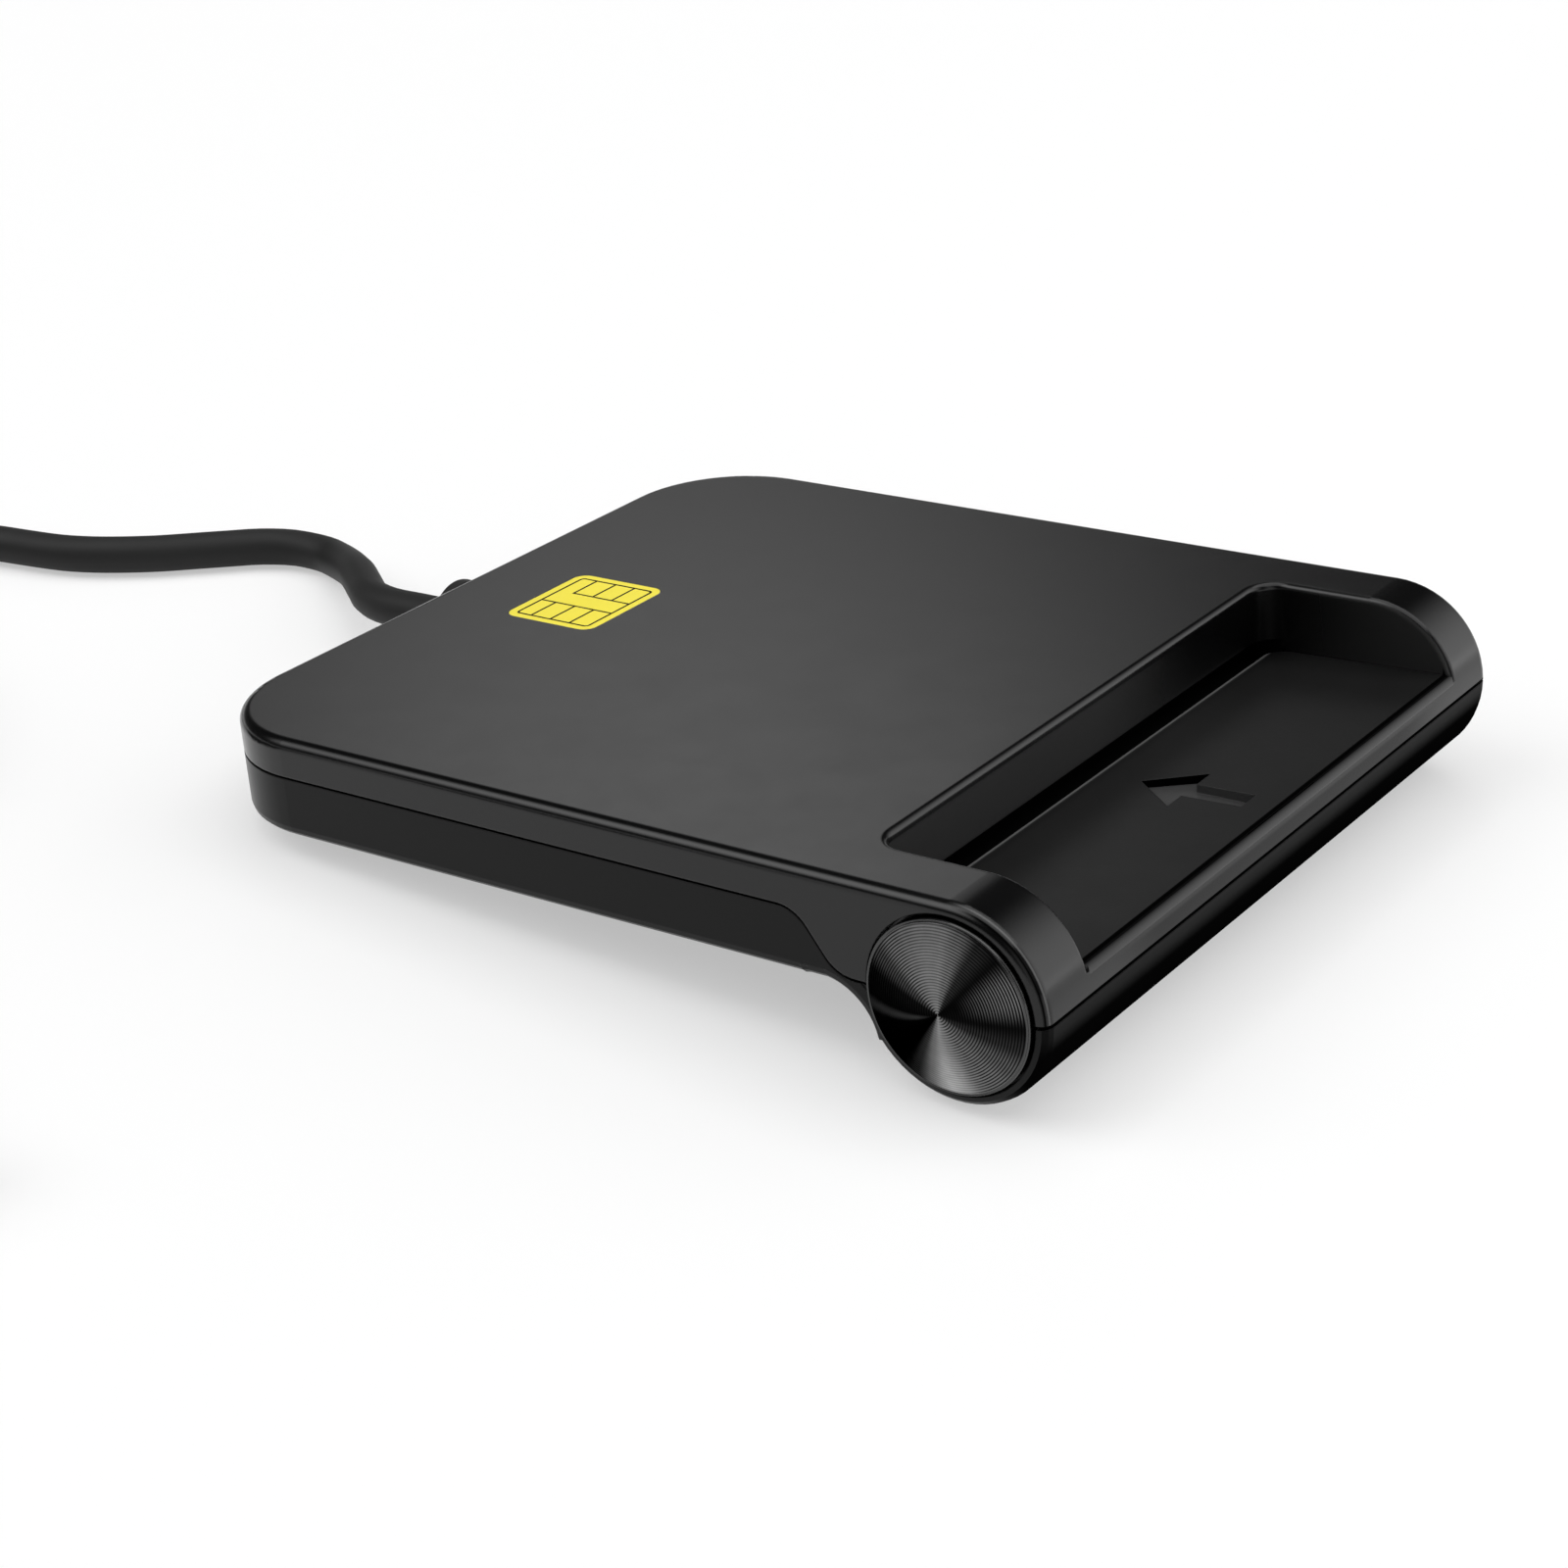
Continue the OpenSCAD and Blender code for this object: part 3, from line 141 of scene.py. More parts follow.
def spread(tree, value, low, high):
    """Maps the middle of a noise to low and high."""
    node = tree.nodes.new("ShaderNodeMapRange")
    node.inputs["From Min"].default_value = NOISE_LOW
    node.inputs["From Max"].default_value = NOISE_HIGH
    node.inputs["To Min"].default_value = low
    node.inputs["To Max"].default_value = high
    tree.links.new(value, node.inputs["Value"])
    return node.outputs["Result"]


def tinted(tree, value, dark, light):
    """Maps the middle of a noise to two colours."""
    ramp = tree.nodes.new("ShaderNodeValToRGB")
    for element, position, colour in zip(ramp.color_ramp.elements, (NOISE_LOW, NOISE_HIGH), (dark, light)):
        element.position = position
        element.color = (*colour, 1)
    tree.links.new(value, ramp.inputs["Fac"])
    return ramp.outputs["Color"]


def math_node(tree, operation, *values):
    """A math node, its inputs taken from sockets or from numbers."""
    node = tree.nodes.new("ShaderNodeMath")
    node.operation = operation
    for socket, value in zip(node.inputs, values):
        if isinstance(value, (int, float)):
            socket.default_value = value
        else:
            tree.links.new(value, socket)
    return node.outputs[0]


def product(tree, first, *others):
    for other in others:
        first = math_node(tree, "MULTIPLY", first, other)
    return first


def largest(tree, first, *others):
    for other in others:
        first = math_node(tree, "MAXIMUM", first, other)
    return first


def ranged(tree, value, start, end, low, high):
    """Goes smoothly from low at start to high at end."""
    node = tree.nodes.new("ShaderNodeMapRange")
    node.interpolation_type = "SMOOTHSTEP"
    node.inputs["From Min"].default_value = start
    node.inputs["From Max"].default_value = end
    node.inputs["To Min"].default_value = low
    node.inputs["To Max"].default_value = high
    tree.links.new(value, node.inputs["Value"])
    return node.outputs["Result"]


def off(tree, value, centre):
    """How far the value is from centre."""
    return math_node(tree, "ABSOLUTE", math_node(tree, "SUBTRACT", value, centre))


def below(tree, value, limit):
    return math_node(tree, "LESS_THAN", value, limit)


def above(tree, value, limit):
    return math_node(tree, "GREATER_THAN", value, limit)


def within(tree, value, half):
    """1 where the value is nearer to zero than half."""
    return below(tree, math_node(tree, "ABSOLUTE", value), half)


def edges(tree, radius_mm):
    """A rounded normal, and a value that is 1 along sharp edges."""
    rounded = tree.nodes.new("ShaderNodeBevel")
    rounded.samples = 6
    rounded.inputs["Radius"].default_value = radius_mm * MM
    plain = tree.nodes.new("ShaderNodeNewGeometry")
    dot = tree.nodes.new("ShaderNodeVectorMath")
    dot.operation = "DOT_PRODUCT"
    tree.links.new(rounded.outputs["Normal"], dot.inputs[0])
    tree.links.new(plain.outputs["Normal"], dot.inputs[1])
    return rounded.outputs["Normal"], ranged(tree, dot.outputs["Value"], 0.98, 0.8, 0, 1)


def rough_bump(tree, strength, deep_mm, grain_mm, seed):
    """A bump of fine grain."""
    bump = tree.nodes.new("ShaderNodeBump")
    bump.inputs["Strength"].default_value = strength
    bump.inputs["Distance"].default_value = deep_mm * MM
    tree.links.new(noise(tree, grain_mm, 2, seed), bump.inputs["Height"])
    return bump


def body_place(tree):
    """The point's place in the body's own frame, as three sockets."""
    place = tree.nodes.new("ShaderNodeTexCoord")
    level = tree.nodes.new("ShaderNodeMapping")
    level.vector_type = "TEXTURE"
    level.inputs["Location"].default_value = STAND.translation
    level.inputs["Rotation"].default_value = STAND.to_euler()
    level.inputs["Scale"].default_value = (MM, MM, MM)
    tree.links.new(place.outputs["Object"], level.inputs["Vector"])
    parts = tree.nodes.new("ShaderNodeSeparateXYZ")
    tree.links.new(level.outputs["Vector"], parts.inputs["Vector"])
    return parts.outputs["X"], parts.outputs["Y"], parts.outputs["Z"]


def facing(tree):
    """The way the surface faces, as three sockets."""
    plain = tree.nodes.new("ShaderNodeNewGeometry")
    parts = tree.nodes.new("ShaderNodeSeparateXYZ")
    tree.links.new(plain.outputs["Normal"], parts.inputs["Vector"])
    return parts.outputs["X"], parts.outputs["Y"], parts.outputs["Z"]


def mix_in(tree, kind, socket, factor, value):
    """Lays a second value, a colour or a socket, over what the shader's socket has, where factor is 1."""
    first = socket.links[0].from_socket
    mix = tree.nodes.new("ShaderNodeMix")
    mix.data_type = kind
    sockets = [i for i in mix.inputs if i.enabled]
    tree.links.new(factor, sockets[0])
    tree.links.new(first, sockets[1])
    if isinstance(value, (tuple, float)):
        sockets[2].default_value = value
    else:
        tree.links.new(value, sockets[2])
    tree.links.new([o for o in mix.outputs if o.enabled][0], socket)


def grey(level):
    return level, level, level


def blend_colour(tree, shader, factor, colour, rough=None):
    """Lays a second colour, and a second roughness, over the first where factor is 1."""
    mix_in(tree, "RGBA", shader.inputs["Base Color"], factor, (*colour, 1))
    if rough is not None:
        mix_in(tree, "FLOAT", shader.inputs["Roughness"], factor, rough)


def paint_shade(tree, shader, factor, dark):
    """Paints shade: gives way to a dull dark surface where factor is 1."""
    output = [n for n in tree.nodes if n.type == "OUTPUT_MATERIAL"][0]
    dull = tree.nodes.new("ShaderNodeBsdfDiffuse")
    dull.inputs["Color"].default_value = (*grey(dark), 1)
    mix = tree.nodes.new("ShaderNodeMixShader")
    tree.links.new(factor, mix.inputs[0])
    tree.links.new(shader.outputs[0], mix.inputs[1])
    tree.links.new(dull.outputs[0], mix.inputs[2])
    tree.links.new(mix.outputs[0], output.inputs["Surface"])


# Places on the body, each 1 there and 0 elsewhere; all but the sign's lines are where light or shade is
# painted

# Lengths are in millimetres; a pair is where a place begins and where it has come or gone in full; a way is
# how much the surface faces along one direction
WALL_REACH = 0.5
WALL_TOP = (6.9, 6.6)
WALL_SIDE = 0.99
WALL_FADE = (1, 17)
END_REACH = 0.3
END_GROW = (9, -5)
END_WAY = (-0.7, -0.95)
CREST_LINE_REAR = (-0.12, 0)
CREST_LINE_FRONT = (0.3, 0.5)
LIP_DROP = 0.3
LIP_SIDE = (RECESS_HALF - 1, RECESS_HALF - 10)
# A painted dark line and a painted highlight round the round's ends: depths where each begins, is full and
# has gone
PAINTED_DARK_RING = (0.15, 0.3, 0.42)
PAINTED_BRIGHT_RING = (0.45, 0.55, 0.68)
RING_FADE = (0, -2.5)
SEAM_EDGE = (SEAM_Z + 0.08, SEAM_Z + 0.14)
SEAM_FADE = (-5, -6)
ARROW_TOP = CARD_Z + 0.35
ARROW_FLOOR = CARD_Z - 0.3
LEVEL_WAY = (0.8, 0.95)
STEEP_WAY = (0.4, 0.2)
LEFT_WAY = (-0.95, -0.85)
TRAY_EDGE = (TRAY_END - 0.6, TRAY_END - 0.3)
TRAY_LOW = CARD_Z - 0.2
SIGN_DIP = 0.02
SIGN_EDGE = 0.09
SIGN_WAY = (0.9, 0.6)
UNDER_WAY = (0.2, -0.2)
UPRIGHT_SHARE = 0.35
FRONT_WAY = (-0.2, -0.6)


def crest_normal(tree, shader):
    """Shades the lip in front of the tray as a rounded crest along the body."""
    across, along, up = body_place(tree)
    zone = product(tree, below(tree, along, CREST_Y), above(tree, up, CREST_END_Z),
                   within(tree, across, RECESS_HALF))
    out = math_node(tree, "SUBTRACT", along, CREST_Y)
    rise = math_node(tree, "SUBTRACT", up, CREST_Z)
    cos, sin = math.cos(TILT), math.sin(TILT)
    level_y = math_node(tree, "ADD", product(tree, out, cos), product(tree, rise, sin))
    level_z = math_node(tree, "SUBTRACT", product(tree, rise, cos), product(tree, out, sin))
    joined = tree.nodes.new("ShaderNodeCombineXYZ")
    tree.links.new(level_y, joined.inputs["Y"])
    tree.links.new(level_z, joined.inputs["Z"])
    unit = tree.nodes.new("ShaderNodeVectorMath")
    unit.operation = "NORMALIZE"
    tree.links.new(joined.outputs[0], unit.inputs[0])
    mix_in(tree, "VECTOR", shader.inputs["Normal"], zone, unit.outputs["Vector"])


def painted_crest_shade(tree):
    """A painted line of shade where the tray ends and the lip's crest begins."""
    across, along, _ = body_place(tree)
    ahead = math_node(tree, "SUBTRACT", CREST_Y, along)
    return product(tree, ranged(tree, ahead, *CREST_LINE_REAR, 0, 1),
                   ranged(tree, ahead, *CREST_LINE_FRONT, 1, 0), within(tree, across, RECESS_HALF))


def painted_lip_shade(tree):
    """Painted shade on the lip's front under the crest, away from the recess's ends."""
    across, along, up = body_place(tree)
    return product(tree, ranged(tree, up, CREST_END_Z, CREST_END_Z - LIP_DROP, 0, 1),
                   ranged(tree, math_node(tree, "ABSOLUTE", across), *LIP_SIDE, 0, 1),
                   below(tree, along, CREST_Y))


def painted_end_ring(tree, start, middle, end):
    """A thin painted line round the front round's end, a highlight or a dark line of shade; the places are
    depths in from the end face.
    """
    across, along, up = body_place(tree)
    depth = math_node(tree, "SUBTRACT", BODY_HALF, math_node(tree, "ABSOLUTE", across))
    squares = math_node(tree, "ADD", product(tree, along, along), product(tree, up, up))
    return product(tree, ranged(tree, depth, start, middle, 0, 1), ranged(tree, depth, middle, end, 1, 0),
                   above(tree, math_node(tree, "SQRT", squares), ROLL_R - EDGE_R),
                   ranged(tree, along, *RING_FADE, 0, 1))


def painted_seam_shade(tree):
    """Painted shade on the edge over the front seam."""
    _, along, up = body_place(tree)
    return product(tree, ranged(tree, up, *SEAM_EDGE, 1, 0), ranged(tree, along, *SEAM_FADE, 0, 1))


def painted_rear_wall_reflection(tree):
    """A painted reflection on the recess's rear wall, from the left end and gone towards the right one."""
    across, along, up = body_place(tree)
    return product(tree, below(tree, off(tree, along, RECESS_REAR_Y), WALL_REACH),
                   ranged(tree, up, *WALL_TOP, 0, 1), within(tree, across, RECESS_HALF - WALL_SIDE),
                   ranged(tree, across, *WALL_FADE, 1, 0))


def painted_end_wall_reflection(tree):
    """A painted reflection on the recess's right end wall, stronger towards the front."""
    across, along, _ = body_place(tree)
    return product(tree, below(tree, off(tree, across, RECESS_HALF), END_REACH),
                   ranged(tree, along, *END_GROW, 0, 1), ranged(tree, facing(tree)[0], *END_WAY, 0, 1))


def painted_arrow_floor_light(tree):
    """Painted light on the sunk arrow's floor."""
    return product(tree, below(tree, body_place(tree)[2], ARROW_FLOOR),
                   ranged(tree, facing(tree)[2], *LEVEL_WAY, 0, 1))


def painted_arrow_wall_shade(tree):
    """Painted shade on the sunk arrow's steep walls, but for those that face straight left."""
    across, _, up = body_place(tree)
    left, _, top = facing(tree)
    return product(tree, ranged(tree, top, *STEEP_WAY, 0, 1), below(tree, up, ARROW_TOP),
                   ranged(tree, left, *LEFT_WAY, 0, 1), within(tree, across, ARROW_HALF))


def painted_arrow_far_wall_light(tree):
    """Painted light on the sunk arrow's walls that face straight left."""
    return product(tree, ranged(tree, facing(tree)[0], *LEFT_WAY, 1, 0),
                   within(tree, body_place(tree)[0], ARROW_HALF))


def painted_tray_edge_highlight(tree):
    """A painted highlight on the rounded rear edge of the tray's top."""
    _, along, up = body_place(tree)
    return product(tree, ranged(tree, along, *TRAY_EDGE, 0, 1), above(tree, up, TRAY_LOW))


def sign_lines(tree):
    """The grooves between the sign's fields, and its edges."""
    return largest(tree, ranged(tree, facing(tree)[2], *SIGN_WAY, 0, 1),
                   below(tree, body_place(tree)[2], SIGN_TOP - SIGN_DIP),
                   edges(tree, SIGN_EDGE)[1])


def painted_underside_shade(tree):
    """Painted shade on what faces the floor, and a share of what is upright, on the front's side."""
    _, along, up = facing(tree)
    return product(tree, ranged(tree, up, *UNDER_WAY, UPRIGHT_SHARE, 1),
                   ranged(tree, along, *FRONT_WAY, 0, 1))


# Materials

def moulded_plastic(name, colour, rough=0.38, grain_mm=0.12, grain=0.03, vary=0.12, edge_mm=0.15,
                    specular=0.5, wear=1.5):
    """Plastic with a fine moulded grain, a slight change of tone and of gloss, and edges rubbed paler."""
    material, tree, shader = new_material(name)
    normal, edge = edges(tree, edge_mm)
    dark = [c * (1 - vary) for c in colour]
    light = [c * (1 + vary) for c in colour]
    body = tinted(tree, noise(tree, 9, 4, 1.3), dark, light)
    worn = tree.nodes.new("ShaderNodeMix")
    worn.data_type = "RGBA"
    patchy = product(tree, edge, spread(tree, noise(tree, 1.1, 4, 9.2), 0.1, 0.8))
    tree.links.new(patchy, worn.inputs["Factor"])
    tree.links.new(body, worn.inputs["A"])
    worn.inputs["B"].default_value = (*[min(1, c * wear) for c in colour], 1)
    tree.links.new(worn.outputs["Result"], shader.inputs["Base Color"])
    gloss = spread(tree, noise(tree, 3.5, 4, 4.1), rough - 0.02, rough + 0.02)
    tree.links.new(math_node(tree, "ADD", gloss, product(tree, patchy, 0.08)), shader.inputs["Roughness"])
    shader.inputs["Specular IOR Level"].default_value = specular
    bump = rough_bump(tree, 0.3, grain, grain_mm, 7.7)
    tree.links.new(normal, bump.inputs["Normal"])
    tree.links.new(bump.outputs["Normal"], shader.inputs["Normal"])
    return material


def plain_metal(name, colour, rough=0.28):
    """Smooth metal with a slight change of tone and of gloss."""
    material, tree, shader = new_material(name)
    shader.inputs["Metallic"].default_value = 1
    dark = [c * 0.9 for c in colour]
    tree.links.new(tinted(tree, noise(tree, 1.5, 3, 2.2), dark, colour), shader.inputs["Base Color"])
    gloss = spread(tree, noise(tree, 0.5, 3, 6.1), rough - 0.06, rough + 0.06)
    tree.links.new(gloss, shader.inputs["Roughness"])
    tree.links.new(rough_bump(tree, 0.2, 0.01, 0.2, 3.3).outputs["Normal"], shader.inputs["Normal"])
    return material


# The end discs' painted reflection fans: angles in degrees from the top, with greys, for the grooves' crests
# and their floors
TURN = 360
CREST_PAINTED_REFLECTION = [
    (0, 0.24), (14, 0.18), (28, 0.03), (45, 0.004), (90, 0.006), (105, 0.03), (122, 0.13), (140, 0.2),
    (165, 0.24), (180, 0.26), (193, 0.16), (206, 0.04), (218, 0), (285, 0.01), (300, 0.07), (318, 0.2),
    (340, 0.22),
]
FLOOR_PAINTED_REFLECTION = [
    (0, 0.08), (14, 0.03), (28, 0.003), (60, 0.001), (145, 0.004), (153, 0.04), (165, 0.12), (180, 0.22),
    (193, 0.13), (206, 0.02), (218, 0), (318, 0.003), (330, 0.05), (345, 0.09),
]


def fans(tree, turn, stops):
    """A painted reflection: a grey that changes with the angle round a spun disc."""
    ramp = tree.nodes.new("ShaderNodeValToRGB")
    ramp.color_ramp.interpolation = "EASE"
    elements = ramp.color_ramp.elements
    while len(elements) > 1:
        elements.remove(elements[-1])
    elements[0].position = 0
    elements[0].color = (*grey(stops[0][1]), 1)
    for angle, level in stops[1:]:
        elements.new(angle / TURN).color = (*grey(level), 1)
    tree.links.new(turn, ramp.inputs["Fac"])
    return ramp.outputs["Color"]


def fan(tree, turn, radius, middle, full, gone, strength, reach):
    """One painted bright reflection fan, full and gone at those degrees from its middle, that grows over a
    reach outwards.
    """
    return product(tree, ranged(tree, off(tree, turn, middle), full / TURN, gone / TURN, strength, 0),
                   ranged(tree, radius, *reach, 0, 1))


def spun_metal_painted_fans(name, groove_mm):
    """Metal turned on a lathe, its colour painted reflection: fans of light and dark that run out from the
    middle, brighter on the fine grooves' crests than in their floors.
    """
    material, tree, shader = new_material(name)
    shader.inputs["Metallic"].default_value = 1
    shader.inputs["Anisotropic"].default_value = 0.5
    shader.inputs["Specular Tint"].default_value = (0.1, 0.1, 0.1, 1)
    uv = tree.nodes.new("ShaderNodeUVMap")
    uv.uv_map = "spin"
    parts = tree.nodes.new("ShaderNodeSeparateXYZ")
    tree.links.new(uv.outputs["UV"], parts.inputs["Vector"])
    turn, radius = parts.outputs["X"], parts.outputs["Y"]
    wave = math_node(tree, "COSINE", product(tree, radius, 2 * math.pi / groove_mm))
    crest = math_node(tree, "MULTIPLY_ADD", wave, 0.5, 0.5)
    both = tree.nodes.new("ShaderNodeMix")
    tree.links.new(crest, both.inputs["Factor"])
    tree.links.new(fans(tree, turn, FLOOR_PAINTED_REFLECTION), both.inputs["A"])
    tree.links.new(fans(tree, turn, CREST_PAINTED_REFLECTION), both.inputs["B"])
    # A painted reflection fan between one and three o'clock, on the crests alone
    side = product(tree, fan(tree, turn, radius, 66 / TURN, 5, 24, 0.2, (1.5, 6)),
                   math_node(tree, "POWER", crest, 2))
    # A thin bright sickle of painted reflection in the dark fan
    path = math_node(tree, "MULTIPLY_ADD", radius, 2.6 / TURN, 245 / TURN)
    painted_sickle = fan(tree, turn, radius, path, 0, 8, 0.032, (0.3, 2))
    # The brightest painted reflection fan, at the bottom
    bottom = product(tree, fan(tree, turn, radius, 176 / TURN, 0, 24, 0.32, (1.5, 6.2)),
                     math_node(tree, "MULTIPLY_ADD", crest, 0.4, 0.6))
    total = both.outputs["Result"]
    for extra in (side, painted_sickle, bottom):
        total = math_node(tree, "ADD", total, extra)
    total = product(tree, total, spread(tree, noise(tree, 0.6, 3, 8.4), 0.93, 1.07))
    colour = tree.nodes.new("ShaderNodeCombineColor")
    for channel in ("Red", "Green", "Blue"):
        tree.links.new(total, colour.inputs[channel])
    tree.links.new(colour.outputs["Color"], shader.inputs["Base Color"])
    tree.links.new(spread(tree, noise(tree, 0.4, 3, 5.5), 0.3, 0.4), shader.inputs["Roughness"])
    tree.links.new(rough_bump(tree, 0.15, 0.01, 0.08, 3.9).outputs["Normal"], shader.inputs["Normal"])
    return material


def top_plastic_painted_light():
    """Glossy black, with light and shade painted as in the photo: painted reflections on the recess's walls,
    a painted highlight and a painted dark line round the round's ends, painted shade at the lip and along the
    seam.
    """
    material = moulded_plastic("top_plastic", (0.0018, 0.0018, 0.0019), rough=0.2, grain=0.008,
                               specular=0.38, wear=3)
    tree, shader = parts_of(material)
    # Painted reflections on the recess's walls, and a painted highlight round the round's ends
    blend_colour(tree, shader, painted_rear_wall_reflection(tree), grey(0.0105), 0.45)
    blend_colour(tree, shader, painted_end_wall_reflection(tree), grey(0.014), 0.45)
    blend_colour(tree, shader, product(tree, painted_end_ring(tree, *PAINTED_BRIGHT_RING), 0.6), grey(0.16), 0.3)
    crest_normal(tree, shader)
    # Painted shade at the lip's crest, round the round's ends, along the seam and on the lip's front
    painted_shade = largest(tree, painted_crest_shade(tree), painted_end_ring(tree, *PAINTED_DARK_RING), painted_seam_shade(tree),
                     product(tree, painted_lip_shade(tree), 0.36))
    paint_shade(tree, shader, painted_shade, 0.0015)
    return material


def bottom_plastic_painted_shade():
    """Black, with painted shade underneath: dull and dark where it faces the floor."""
    material = moulded_plastic("bottom_plastic", grey(0.003), rough=0.3, grain=0.012, specular=0.16, wear=3)
    tree, shader = parts_of(material)
    # Painted shade underneath
    paint_shade(tree, shader, painted_underside_shade(tree), 0.002)
    return material


def tray_plastic_painted_light():
    """Dull black, with light and shade painted as in the photo: painted light on the arrow's floor and on its
    walls that face left, painted shade on its other steep walls and where the lip's crest begins, a painted
    highlight on the tray's rear edge.
    """
    material = moulded_plastic("tray_plastic", grey(0.006), rough=0.42, grain=0.02, specular=0.22, wear=3)
    tree, shader = parts_of(material)
    # Painted light on the arrow's floor, painted shade on its walls and at the crest, painted light on its
    # far wall, a painted highlight on the rear edge
    blend_colour(tree, shader, painted_arrow_floor_light(tree), grey(0.043), 0.4)
    paint_shade(tree, shader, largest(tree, painted_arrow_wall_shade(tree), painted_crest_shade(tree)), 0.001)
    blend_colour(tree, shader, painted_arrow_far_wall_light(tree), grey(0.04), 0.4)
    blend_colour(tree, shader, painted_tray_edge_highlight(tree), grey(0.16), 0.25)
    crest_normal(tree, shader)
    return material


def sign_finish():
    """Yellow fields with dark lines between and round them."""
    material = moulded_plastic("sign_yellow", (0.93, 0.8, 0.04), rough=0.4, grain=0.01, vary=0.02,
                               edge_mm=0.02, wear=1)
    tree, shader = parts_of(material)
    blend_colour(tree, shader, sign_lines(tree), (0.02, 0.019, 0.014))
    return material


rubber = moulded_plastic("rubber", grey(0.012), rough=0.75, grain_mm=0.3, grain=0.05, specular=0.3)
cord_pvc = moulded_plastic("cord_pvc", grey(0.009), rough=0.6, grain_mm=0.25, grain=0.02, specular=0.35)
black_plastic = moulded_plastic("black_plastic", grey(0.012), rough=0.5)
white_plastic = moulded_plastic("white_plastic", (0.75, 0.75, 0.72), rough=0.45, vary=0.04, wear=1.1)
board_green = moulded_plastic("board_green", (0.02, 0.16, 0.06), rough=0.35, grain_mm=0.6, vary=0.2)
ceramic = moulded_plastic("ceramic", (0.42, 0.32, 0.2), rough=0.35, vary=0.2)
steel = plain_metal("steel", (0.6, 0.6, 0.62))
gold = plain_metal("gold", (0.9, 0.62, 0.25), 0.2)
tin = plain_metal("tin", (0.72, 0.72, 0.74), 0.35)
plug_steel = plain_metal("plug_steel", (0.68, 0.68, 0.7), 0.18)
rim_metal = plain_metal("rim_metal", grey(0.075), 0.2)
DISC_GROOVE = 0.2
# The discs' colour is painted reflection: fans of light and dark
disc_metal_painted_fans = spun_metal_painted_fans("disc_metal_painted_fans", DISC_GROOVE)

FINISH = {
    top_plastic_painted_light(): ["top_cover"],
    bottom_plastic_painted_shade(): ["bottom_cover"],
    tray_plastic_painted_light(): ["card_tray"],
    sign_finish(): ["chip_sign"],
    rubber: ["foot_front_left", "foot_front_right", "foot_rear_left", "foot_rear_right"],
    black_plastic: ["contact_block", "controller_chip", "regulator"],
    white_plastic: ["card_switch", "card_switch_lever", "usb_plug_tongue"],
    board_green: ["circuit_board"],
    ceramic: ["board_passives"],
    steel: ["cover_screws", "board_screws"],
    gold: ["contact_c%d" % i for i in range(1, 9)] + ["usb_plug_contacts"],
    tin: ["controller_legs", "clock_crystal", "regulator_legs"],
    plug_steel: ["usb_plug_shell"],
    cord_pvc: ["cable_jacket_end", "cable_sleeve", "usb_plug_grip"],
}
WIRES = {
    "wire_red": (0.5, 0.02, 0.02),
    "wire_white": (0.75, 0.75, 0.73),
    "wire_green": (0.03, 0.3, 0.07),
    "wire_black": (0.01, 0.01, 0.01),
}


def dress(obj, material):
    obj.data.materials.clear()
    obj.data.materials.append(material)


for material, names in FINISH.items():
    for name in names:
        dress(nodes[name], material)
for name, colour in WIRES.items():
    dress(nodes[name], moulded_plastic(name + "_pvc", colour, rough=0.45))


def add(name, data, *materials):
    obj = bpy.data.objects.new(name, data)
    scene.collection.objects.link(obj)
    for material in materials:
        data.materials.append(material)
    return obj


def add_from(bm, name, *materials):
    """Makes an object from a bmesh, with its faces turned outwards."""
    bmesh.ops.recalc_face_normals(bm, faces=bm.faces)
    mesh = bpy.data.meshes.new(name)
    bm.to_mesh(mesh)
    bm.free()
    return add(name, mesh, *materials)


# The end discs, turned on a lathe: a slight dome with fine grooves inside a plain rim

DISC_R = 6.45
DISC_RISE = 1.1
DISC_DEEP = 1.0
GROOVE_DEEP = 0.018
FACE_GAP = 0.06
# The ring between face and rim: the rim's inner edge, half the ring's width, and its depth
RIM_IN = 6.28
RING_HALF = 0.02
RING_DEEP = 0.08
# The rim's section: steps out from its inner edge and in from its outer one, with places along the axis
RIM_INNER = [(0.05, 0.02), (0.1, 0.05)]
RIM_OUTER = [(0.06, 0.03), (0.01, -0.03), (0, -0.1), (0, -DISC_DEEP)]
TURN_STEPS = 120


def disc_profile():
    """Distances from the axis and places along it, from the middle out, with the place 0 at the rim's top."""
    dome_r = (DISC_R ** 2 + DISC_RISE ** 2) / (2 * DISC_RISE)
    points = []
    for i in range(round((RIM_IN - FACE_GAP) / DISC_GROOVE * 2) + 1):
        r = i * DISC_GROOVE / 2
        points.append((r, DISC_RISE - (dome_r - math.sqrt(dome_r ** 2 - r ** 2)) - i % 2 * GROOVE_DEEP))
    floor = points[-1][1] - RING_DEEP
    points += [(RIM_IN - RING_HALF, floor), (RIM_IN + RING_HALF, floor)]
    return points + [(RIM_IN + r, out) for r, out in RIM_INNER] + [(DISC_R - r, out) for r, out in RIM_OUTER]


